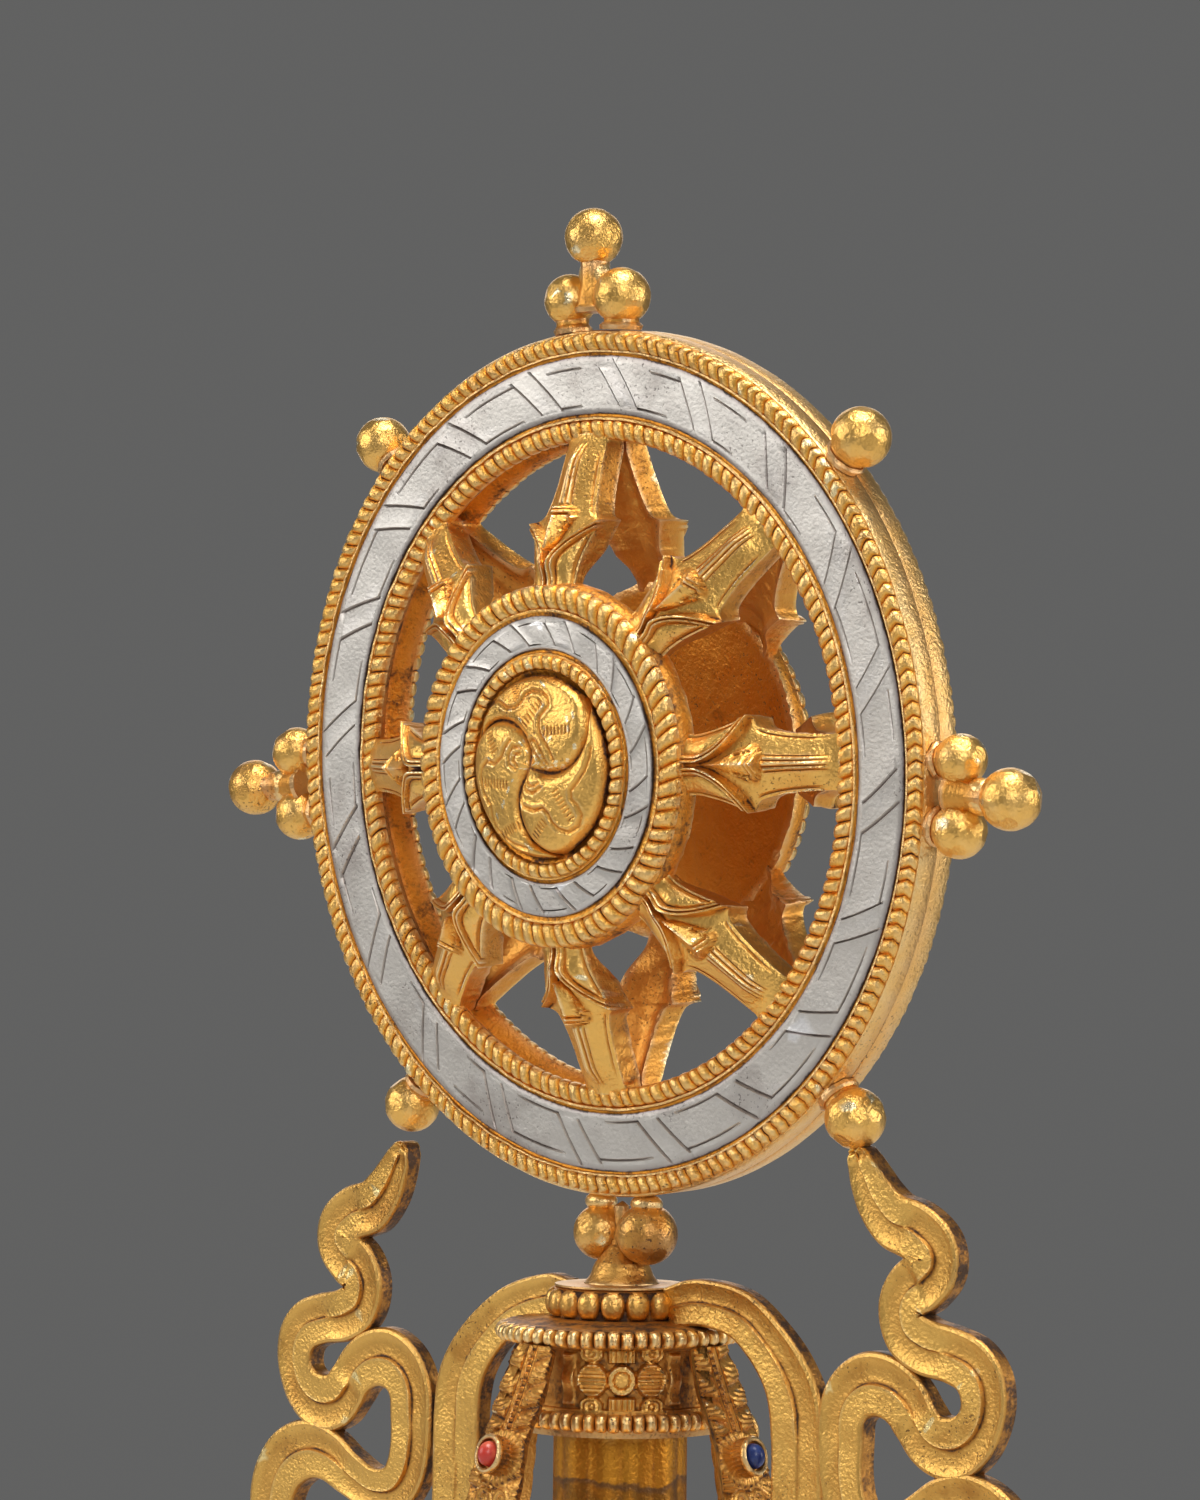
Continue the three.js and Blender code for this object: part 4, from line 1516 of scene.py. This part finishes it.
@dataclass
class Strap:
    """A jewelled strap that bulges from the capital down to the lotus seat."""

    name: str
    turn: float
    pull: float
    stone: StoneFinish
    metal: Metal
    thickness: float = 1.1
    floor: float = 45.32

    PATH = (
        (12.5, 86.0, 2.4), (14.6, 81.2, 3.1), (16.5, 77.2, 2.9), (18.0, 72.8, 3.5),
        (18.9, 67.2, 3.3), (19.0, 61.0, 2.4), (17.8, 54.8, 2.1), (15.6, 49.8, 2.4),
        (15.0, 45.4, 3.2),
    )

    def spine(self) -> list[Vector]:
        """The strap's line as radius, height and half width.

        Returns:
            Its points.
        """
        first = self.PATH[0][0]
        return [Vector((first + (r - first) * self.pull, z, w)) for r, z, w in self.PATH]

    def build(self) -> None:
        """Makes the strap, its bezel and its stone."""
        spine = Curve(self.spine())
        length = spine.length
        top, wall, under = 46, 2, 5
        around = top + 2 * wall + under
        along = 290
        stone = length * 2.5 / (len(self.PATH) - 1)

        def shape(u: float, v: float, _: float) -> Masked:
            """Lays the strip of cells round the strap's section."""
            at = spine.at(u)
            way = spine.way(u)
            out = Vector((-way.y, way.x))
            run = u * length
            half = at.z * (0.97 + 0.07 * math.sqrt(abs(math.sin(math.pi * run / 2.9))))
            slot = v * around
            if slot <= top:
                count = int(round(slot)) - top // 2
                marks = (0.0, 0.12, 0.22, 0.34, 0.46, 0.54, 0.6, 0.68, 0.78, 0.9)
                far = abs(count)
                off = marks[far] if far < 10 else 0.9 + (half - 0.9) * (far - 9) / (top // 2 - 9)
                across = math.copysign(off / half, count)
                rise, mask = self.relief(run, run - stone, across, half)
                depth, side = rise - 0.2, across * half
            elif top + wall < slot <= top + wall + under:
                across = 1.0 - (slot - top - wall) / under * 2.0
                depth = -self.thickness + 0.4 * (1 - across * across)
                side, mask = across * half * 0.8, 0.4
            else:
                right = slot <= top + wall
                part = (slot - top) / wall if right else 1.0 - (slot - top - wall - under) / wall
                depth = -0.2 - (self.thickness - 0.2) * part
                side, mask = half * (1 - 0.2 * part) * (1 if right else -1), 0.4
            return at.x + out.x * depth, side, max(at.y + out.y * depth, self.floor), mask

        body = Bench.sheet(along, around).press(shape).closed()
        seat = self.seat()
        bezel = self.bezel().moved(seat)
        stand = Matrix.Rotation(math.radians(self.turn), 4, "Z")
        body.add(bezel).moved(stand)
        name = f"strap_{self.name}"
        body.finished(f"{name}_chased", STAND_GILT.make(), Metal.GOLD, name)
        gem, node = self.gem().moved(stand @ seat), f"stone_{self.name}"
        gem.finished(f"cabochon_{self.name}", self.stone.make(), self.metal, node, crease=60)

    def seat(self) -> Matrix:
        """Where the stone sits: Z outwards, Y up the strap.

        Returns:
            The move from the bench to there.
        """
        path = self.spine()
        before, here, after = path[2], path[3], path[4]
        along = Vector((after.x - before.x, after.y - before.y)).normalized()
        out = Vector((-along.y, along.x))
        middle = (before + here) / 2
        matrix = Matrix.Identity(4)
        for row, values in enumerate(
            (
                (0.0, -along.x, out.x, middle.x),
                (1.0, 0.0, 0.0, 0.0),
                (0.0, -along.y, out.y, middle.y),
            )
        ):
            matrix[row][:] = values
        return matrix

    @staticmethod
    def relief(run: float, way: float, across: float, half: float) -> tuple[float, float]:
        """Chased relief: rails with dots between, leaves, and the shell about the stone.

        Args:
            run: place along the strap, mm.
            way: the same, counted from the stone.
            across: place across it, -1 to 1.
            half: half its width there, mm.

        Returns:
            The height in mm and the hollow mask.
        """
        volute, rails, repeat = 4.6, 0.85, 2.9
        off = abs(across) * half
        far = math.hypot(way, off)
        if far < 3.4 and abs(way) < 3.3:
            # The striped shell about the stone.
            turn = math.atan2(off, way)
            height = 0.34 + 0.2 * step(3.4, 3.0, far) + 0.07 * math.cos(turn * 24.0)
            groove = step(0.0, 0.06, -math.cos(turn * 24.0))
            return height, 0.55 * (1.0 - step(3.0, 3.3, 6.2 - far)) + 0.3 * groove
        curl = math.hypot(way - volute, off - 1.35)
        if curl < 1.35:
            # The coiled volute below it.
            turn = math.atan2(way - volute, off - 1.35)
            groove = math.cos(curl * 9.0 + turn)
            return 0.45 + 0.14 * groove, 0.7 * step(0.3, 0.8, -groove)
        if off < rails:
            dot = (1.0 - step(0.22, 0.36, off)) * (0.5 + 0.5 * math.cos(run * 8.0)) * 0.3
            rail = line(off, 0.6, 0.14) * 0.5
            height = 0.1 + max(dot, rail)
            return height, 0.95 * (1.0 - step(0.12, 0.32, height))
        # The striped leaves along both edges.
        leaf = (run / repeat + (0.5 if across > 0 else 0.0)) % 1.0
        spread = (off - rails) / max(half - rails, 0.2)
        lag = (leaf + 0.25 * spread) % 1.0
        centre = math.hypot((lag - 0.15) * repeat, (1.0 - spread) * (half - rails) * 0.8)
        body = min(1.0, lag / 0.75, (1.0 - lag) / 0.1)
        height = 0.12 + 0.5 * math.sin(body * math.pi / 2) * (1.0 - 0.4 * spread**2)
        stripes = math.cos(centre * 11.0)
        height += 0.08 * stripes * step(0.3, 0.6, body)
        return height, max(0.9 * (1.0 - step(0.0, 0.4, body)), 0.6 * step(0.2, 0.9, -stripes))

    @staticmethod
    def bezel() -> Bench:
        """The oval bezel with stripes round its wall.

        Returns:
            The bezel.
        """
        profile = [
            (0.0, -0.6), (1.0, -0.6), (1.0, 0.5), (0.97, 0.78), (1.04, 0.86), (1.06, 0.98),
            (1.0, 1.12), (0.9, 1.17), (0.8, 1.1), (0.74, 0.8), (0.0, 0.8),
        ]

        def shape(radius: float, turn: float, height: float, row: float) -> Masked:
            """Cuts the bezel's stripes."""
            walled = 0.8 < radius and 0 < height < 0.8
            notch = 0.05 * math.cos(turn * 26) if walled else 0.0
            return radius - notch, turn, height, 0.75 if walled else 0.2

        work = Bench.turned(profile, 104).carve(shape).closed()
        bmesh.ops.scale(work.mesh, vec=(1.7, 1.95, 1.95), verts=work.mesh.verts)
        return work

    @staticmethod
    def gem() -> Bench:
        """The cabochon: a low oval dome.

        Returns:
            The stone.
        """
        profile = [(0.0, 1.4), (1.0, 1.4)]
        arc = [k / 9 * math.pi / 2 for k in range(1, 10)]
        profile += [(math.cos(a), 1.45 + 1.1 * math.sin(a)) for a in arc]
        profile[-1] = (0.0, 2.55)
        work = Bench.turned(profile, 40).closed()
        bmesh.ops.scale(work.mesh, vec=(1.08, 1.32, 1.2), verts=work.mesh.verts)
        return work


class Curve:
    """A smooth curve through points of three values, with even steps between knots."""

    def __init__(self, points: list[Vector]) -> None:
        """Takes the points and measures the curve."""
        self.points = points
        samples = [self.at(k / 400) for k in range(401)]
        self.length = sum((b.xy - a.xy).length for a, b in zip(samples, samples[1:]))

    def at(self, part: float) -> Vector:
        """The point at a part of the curve, by the centripetal rule.

        Args:
            part: 0 at its start, 1 at its end.

        Returns:
            The point.
        """
        pts = self.points
        spot = min(max(part, 0.0), 1.0) * (len(pts) - 1)
        i = min(int(spot), len(pts) - 2)
        weight = spot - i
        p1, p2 = pts[i], pts[i + 1]
        p0 = pts[i - 1] if i > 0 else p1 * 2 - p2
        p3 = pts[i + 2] if i + 2 < len(pts) else p2 * 2 - p1
        dt0 = max((p1 - p0).length ** 0.5, 1e-4)
        dt1 = max((p2 - p1).length ** 0.5, 1e-4)
        dt2 = max((p3 - p2).length ** 0.5, 1e-4)
        t1 = ((p1 - p0) / dt0 - (p2 - p0) / (dt0 + dt1) + (p2 - p1) / dt1) * dt1
        t2 = ((p2 - p1) / dt1 - (p3 - p1) / (dt1 + dt2) + (p3 - p2) / dt2) * dt1
        c2 = (p2 - p1) * 3 - t1 * 2 - t2
        c3 = (p1 - p2) * 2 + t1 + t2
        return p1 + t1 * weight + c2 * weight**2 + c3 * weight**3

    def way(self, part: float) -> Vector:
        """The direction of the curve there, in its first two values.

        Args:
            part: 0 at its start, 1 at its end.

        Returns:
            The unit direction.
        """
        ahead = self.at(min(part + 0.004, 1.0))
        behind = self.at(max(part - 0.004, 0.0))
        return Vector((ahead.x - behind.x, ahead.y - behind.y)).normalized()

    def bend(self, part: float) -> float:
        """How fast the curve turns there, to the left positive, per mm.

        Args:
            part: 0 at its start, 1 at its end.

        Returns:
            The turn in radians per mm.
        """
        before = self.way(max(part - 0.008, 0.0))
        after = self.way(min(part + 0.008, 1.0))
        span = (self.at(min(part + 0.008, 1.0)).xy - self.at(max(part - 0.008, 0.0)).xy).length
        return (before.x * after.y - before.y * after.x) / max(span, 1e-4)


@dataclass
class Ribbon:
    """One of the two scrolling ribbons: an arch and a scroll of flat plate."""

    name: str
    side: int
    arch_move: tuple[float, float]
    scroll_move: tuple[float, float]

    ARCH = (
        (7.4, 89.8, 4.2), (9.6, 89.9, 4.8), (12.0, 89.5, 4.9), (15.9, 88.1, 5.2),
        (19.4, 85.6, 5.6), (22.1, 82.6, 6.3), (23.5, 79.6, 7.0), (23.9, 76.0, 7.1),
        (24.0, 70.0, 7.0), (24.4, 62.0, 6.6), (25.6, 54.0, 6.4), (26.6, 48.6, 6.6),
        (26.8, 45.3, 7.4),
    )
    SCROLL = (
        (32.5, 105.1, 0.3), (32.58, 104.95, 1.2), (32.7, 104.7, 1.9), (32.95, 104.2, 2.7),
        (33.35, 103.3, 3.5), (34.1, 101.9, 4.4), (35.3, 100.0, 5.3), (37.4, 98.0, 5.9),
        (40.6, 97.0, 6.1), (42.8, 95.3, 6.4), (43.0, 93.8, 6.4), (41.6, 92.3, 6.4),
        (39.7, 91.0, 6.2), (38.9, 89.3, 6.2), (39.5, 87.1, 6.0), (41.8, 85.8, 5.8),
        (45.3, 85.2, 5.6), (47.9, 84.3, 5.8), (49.3, 82.8, 5.9), (49.7, 81.0, 5.7),
        (49.4, 79.2, 5.5), (48.3, 77.4, 5.8), (46.4, 76.2, 6.3), (44.3, 76.0, 6.3),
        (42.4, 76.7, 6.1), (41.0, 78.2, 6.0), (39.6, 80.0, 6.1), (37.5, 81.3, 6.3),
        (34.7, 81.6, 6.5), (32.3, 80.4, 6.4), (31.1, 78.4, 6.3), (30.9, 75.4, 6.2),
        (31.0, 72.2, 5.9), (31.8, 69.4, 5.7), (33.6, 67.5, 5.3), (36.8, 67.1, 5.0),
        (40.8, 68.6, 5.2), (44.1, 70.3, 5.8), (47.4, 70.7, 6.6), (50.9, 69.2, 7.2),
        (52.9, 66.3, 7.3), (53.2, 63.0, 7.0), (51.6, 59.6, 6.6), (48.0, 57.4, 6.2),
        (43.6, 57.2, 5.8), (39.6, 58.4, 5.6), (35.8, 58.4, 5.8), (32.2, 56.2, 6.0),
        (29.6, 52.6, 6.0),
    )

    def moved(self, rows: tuple, move: tuple[float, float], rooted: bool) -> Curve:
        """The centre line moved by hand fitting, the move fading towards the foot.

        Args:
            rows: the points.
            move: how far its top moves, mm.
            rooted: whether its first points stay.

        Returns:
            The curve.
        """
        points = []
        for index, (x, z, width) in enumerate(rows):
            low = step(50.0, 74.0, z)
            root = min(index / 3, 1.0) if rooted else 1.0
            points.append(Vector((x + move[0] * low * root, z + move[1] * low * root, width)))
        return Curve(points)

    @staticmethod
    def strip(curve: Curve, along: int, half: float) -> Bench:
        """A plate of stepped double band along a curve.

        Args:
            curve: its middle line, with the width as third value.
            along: how many steps are taken along it.
            half: half the plate's thickness.

        Returns:
            The closed plate.
        """
        face_rows = [
            (-1.0, -0.42), (-0.95, -0.12), (-0.86, 0.0), (-0.5, -0.07), (-0.15, -0.1),
            (-0.03, -0.06), (0.03, -0.5), (0.2, -0.56), (0.5, -0.5), (0.72, -0.34), (0.84, -0.2),
            (0.94, -0.3), (1.0, -0.62),
        ]
        rows = sorted({abs(s) for s, _ in face_rows})
        front = [-s for s in reversed(rows)] + rows
        section = [(s, 1) for s in front] + [(s, -1) for s in reversed(front)]
        count = len(section)
        bend_window, side_window, tightest = 5, 6, 0.85
        bends = [curve.bend(k / along) for k in range(along + 1)]
        smooth = []
        for k in range(along + 1):
            near = bends[max(k - bend_window, 0) : k + bend_window + 1]
            smooth.append(math.tanh(sum(near) / len(near) * 18))
        ways = [curve.way(k / along) for k in range(along + 1)]
        sides = []
        for k in range(along + 1):
            near = ways[max(k - side_window, 0) : k + side_window + 1]
            mean = sum(near, Vector((0.0, 0.0))).normalized()
            sides.append(Vector((-mean.y, mean.x)))
        bent = []
        for k in range(along + 1):
            low, high = max(k - 1, 0), min(k + 1, along)
            span = (curve.at(high / along).xy - curve.at(low / along).xy).length
            bent.append(sides[low].cross(sides[high]) / max(span, 0.01))

        def shape(u: float, v: float, _: float) -> Masked:
            """Lays the strip of cells round the plate's section."""
            index = int(round(v * count)) % count
            across, face = section[index]
            here = int(round(u * along))
            at, side = curve.at(u), sides[here]
            swap = smooth[here] / 2 + 0.5
            depth = 1.0 if face > 0 else 0.55
            low = table(face_rows, -across) * swap + table(face_rows, across) * (1.0 - swap)
            wave = rough((at.x, at.y + across * 2, face * 3.0), 3.0, 2.0) * 0.05
            reach = across * at.z / 2
            tight = bent[here] * math.copysign(at.z / 2, across)
            reach *= min(1.0, tightest / max(tight, 0.1))
            place = at.xy + side * reach
            # Painted shade with patina: the step's crease and the lower band are darkened, and the
            # plate's edges too.
            mask = 0.75 * line(across * (1 if swap < 0.5 else -1), 0.05, 0.05)
            mask += 0.3 * step(0.3, 0.5, -low)
            mask = max(mask, 0.9 if abs(across) > 0.99 else 0.3 * step(0.75, 0.95, abs(across)))
            return place.x, -face * (half + low * depth + min(wave, 0.0)), place.y, mask

        return Bench.sheet(along, count).press(shape).closed()

    def build(self) -> None:
        """Makes the ribbon."""
        arch = self.strip(self.moved(self.ARCH, self.arch_move, True), 110, 1.1)
        scroll = self.strip(self.moved(self.SCROLL, self.scroll_move, False), 420, 1.2)
        work = arch.add(scroll).moved(Matrix.Diagonal((self.side, 1.0, 1.0, 1.0)))
        name = f"ribbon_{self.name}"
        work.finished(f"{name}_plate", RIBBON_GILT.make(), Metal.GOLD, name, crease=20)


@dataclass
class LotusSeat:
    """The double lotus: petals up and petals down about a waist."""

    petals: int = 14
    per: int = 22
    lower_foot: float = 12.6
    lower_rise: float = 13.0
    upper_foot: float = 27.6
    upper_rise: float = 13.4

    @staticmethod
    def leaf(local: float, level: float) -> tuple[float, float]:
        """Relief of one petal.

        Args:
            local: place across the petal's cell, -1 to 1.
            level: 0 at the petal's root, 1 at its tip.

        Returns:
            The height in mm, from the gap between petals, and the hollow mask.
        """
        reach = 0.97
        if level >= 0.5:
            reach *= math.sqrt(max(0.0, 1.0 - ((level - 0.5) / 0.52) ** 2))
        inside = reach - abs(local)
        body = step(0.0, 0.16, inside)
        dome = math.sqrt(max(0.0, 1.0 - (local / max(reach, 0.05)) ** 2)) if inside > 0 else 0.0
        border = line(inside, 0.2, 0.05)
        heart = math.sqrt(max(0.0, 1.0 - (local / 0.42) ** 2 - ((level - 0.35) / 0.42) ** 2))
        height = body * (1.0 + 1.2 * dome) - 0.35 * border + 0.5 * heart
        mask = max(1.0 - body, 0.8 * border, 0.0)
        return height, mask

    def build(self) -> None:
        """Makes the seat."""
        upper_line = [(25.2, 27.6), (28.0, 29.6), (31.4, 34.6), (32.6, 38.0), (33.2, 40.8)]
        lower_line = [(37.0, 12.6), (36.2, 15.5), (33.4, 19.4), (29.5, 23.2), (25.6, 25.8)]
        flip = [(z, r) for r, z in upper_line]
        flop = [(z, r) for r, z in lower_line]
        profile: Profile = [(0.0, 12.0), (36.0, 12.0)]
        lower = [self.lower_foot + self.lower_rise * k / 34 for k in range(35)]
        upper = [self.upper_foot + self.upper_rise * k / 36 for k in range(37)]
        profile += [(table(flop, z), z) for z in lower]
        profile += [(25.4, 26.2), (26.3, 26.5), (26.3, 27.0), (25.4, 27.3)]
        profile += [(table(flip, z), z) for z in upper]
        profile += [(31.0, 41.6), (30.2, 41.9), (30.2, 42.4), (31.0, 42.6), (31.2, 43.2)]
        profile += [(31.3, 43.9), (30.6, 44.5), (29.6, 45.0), (28.8, 44.7), (16.0, 44.7)]
        profile += [(0.0, 44.7)]
        columns = self.petals * self.per
        share = math.tau / self.petals

        def shape(radius: float, turn: float, height: float, row: float) -> Masked:
            """Raises the lotus petals."""
            local = ((turn / share + 0.5) % 1.0) * 2.0 - 1.0
            if 27.55 < height < 41.1 and radius > 20:
                level = (height - self.upper_foot) / self.upper_rise
                rise, mask = self.leaf(local, level)
                curl = 0.6 * step(0.75, 1.0, level)
                return radius - 2.6 + rise + curl, turn, height, mask
            if 12.5 < height < 25.7 and radius > 20:
                level = 1.0 - (height - self.lower_foot) / self.lower_rise
                rise, mask = self.leaf(local, level)
                return radius - 2.6 + rise, turn, height, mask
            return radius, turn, height, 0.5 if radius > 20 and height < 42 else 0.1

        work = Bench.turned(profile, columns).carve(shape).closed()
        work.finished("lotus_seat_petals", SEAT_GILT.make(), Metal.GOLD, "lotus_seat")


@dataclass
class Plinth:
    """The round stepped foot."""

    def build(self) -> None:
        """Makes the plinth."""
        profile = [
            (0.0, 0.0), (41.6, 0.0), (42.0, 0.4), (42.0, 3.8), (41.6, 4.2), (40.6, 4.3),
            (40.0, 4.8), (40.0, 10.2), (39.6, 10.8), (38.6, 11.2), (38.2, 11.7), (0.0, 11.7),
        ]
        work = Bench.turned(profile, 256).carve(lambda r, t, z, row: (r, t, z, 0.1)).closed()
        work.finished("plinth_turned", SEAT_GILT.make(), Metal.GOLD, "plinth")


# --- the studio ---------------------------------------------------------------------------------


@dataclass
class Studio:
    """The camera at the photograph's place, the soft lights, the floor and the backdrop."""

    def camera(self) -> None:
        """Sets the camera."""
        data = bpy.data.cameras.new("camera")
        data.sensor_fit = "VERTICAL"
        data.sensor_height = 24.0
        data.lens = 86.66
        data.clip_start = 0.01
        data.clip_end = 20.0
        eye = bpy.data.objects.new("camera", data)
        forward = Vector((-0.70297, 0.71091, 0.02102)).normalized()
        up = Vector((0.00754, -0.02210, 0.99973))
        right = forward.cross(up).normalized()
        up = right.cross(forward)
        basis = Matrix((right, up, -forward)).transposed().to_4x4()
        eye.matrix_world = Matrix.Translation((0.39543, -0.40392, 0.13546)) @ basis
        bpy.context.scene.collection.objects.link(eye)
        bpy.context.scene.camera = eye

    @staticmethod
    def light(name: str, place: Point, size: float, power: float, colour: Point) -> None:
        """Adds a soft square light aimed at the wheel's foot.

        Args:
            name: its name.
            place: where it stands, in metres.
            size: length of its side, in metres.
            power: its power in watts.
            colour: its colour.
        """
        data = bpy.data.lights.new(name, "AREA")
        data.shape = "SQUARE"
        data.size = size
        data.energy = power
        data.color = colour
        lamp = bpy.data.objects.new(name, data)
        aim = Vector((0.0, 0.0, 0.12))
        way = aim - Vector(place)
        turn = way.to_track_quat("-Z", "Y").to_matrix().to_4x4()
        lamp.matrix_world = Matrix.Translation(place) @ turn
        bpy.context.scene.collection.objects.link(lamp)

    def build(self) -> None:
        """Makes the studio."""
        self.camera()
        warm = (1.0, 0.98, 0.95)
        self.light("key", (-0.75, -0.85, 0.55), 0.7, 5.6, (1.0, 0.98, 0.94))
        self.light("fill", (0.95, -0.75, 0.6), 0.4, 4.6, warm)
        self.light("top", (0.15, -0.1, 1.1), 0.4, 8.5, warm)
        self.light("side", (0.9, 0.55, 0.35), 0.5, 4.0, warm)
        self.light("rim", (-0.7, 0.7, 0.4), 0.6, 2.0, warm)
        world = bpy.data.worlds.new("studio")
        world.use_nodes = True
        background = world.node_tree.nodes["Background"]
        background.inputs["Color"].default_value = (0.121, 0.121, 0.12, 1.0)
        bpy.context.scene.world = world
        bpy.context.scene.view_settings.view_transform = "Standard"
        bm = bmesh.new()
        bmesh.ops.create_circle(bm, cap_ends=True, segments=96, radius=0.45)
        mesh = bpy.data.meshes.new("floor")
        bm.to_mesh(mesh)
        bm.free()
        floor = bpy.data.objects.new("floor", mesh)
        material = bpy.data.materials.new("pale_floor")
        material.use_nodes = True
        shader = material.node_tree.nodes["Principled BSDF"]
        shader.inputs["Base Color"].default_value = (0.62, 0.62, 0.61, 1.0)
        shader.inputs["Roughness"].default_value = 0.7
        mesh.materials.append(material)
        bpy.context.scene.collection.objects.link(floor)


def main() -> None:
    """Builds every piece in order."""
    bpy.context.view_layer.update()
    Studio().build()
    wheel = Wheel()
    for side in Side:
        wheel.build(side)
    Beads(wheel).build()
    Neck().build()
    Capital().build()
    Column().build()
    for name, turn, pull, stone, metal in (
        ("front", -90.0, 1.0, CORAL, Metal.CORAL),
        ("right", 0.0, 1.0, LAPIS, Metal.LAPIS),
        ("back", 90.0, 1.0, CORAL, Metal.CORAL),
        ("left", 180.0, 0.72, LAPIS, Metal.LAPIS),
    ):
        Strap(name, turn, pull, stone, metal).build()
    Ribbon("right", 1, (1.7, 1.5), (0.6, 2.4)).build()
    Ribbon("left", -1, (0.0, 0.0), (0.0, 0.0)).build()
    LotusSeat().build()
    Plinth().build()
    bpy.context.view_layer.update()


if __name__ == "__main__":
    main()
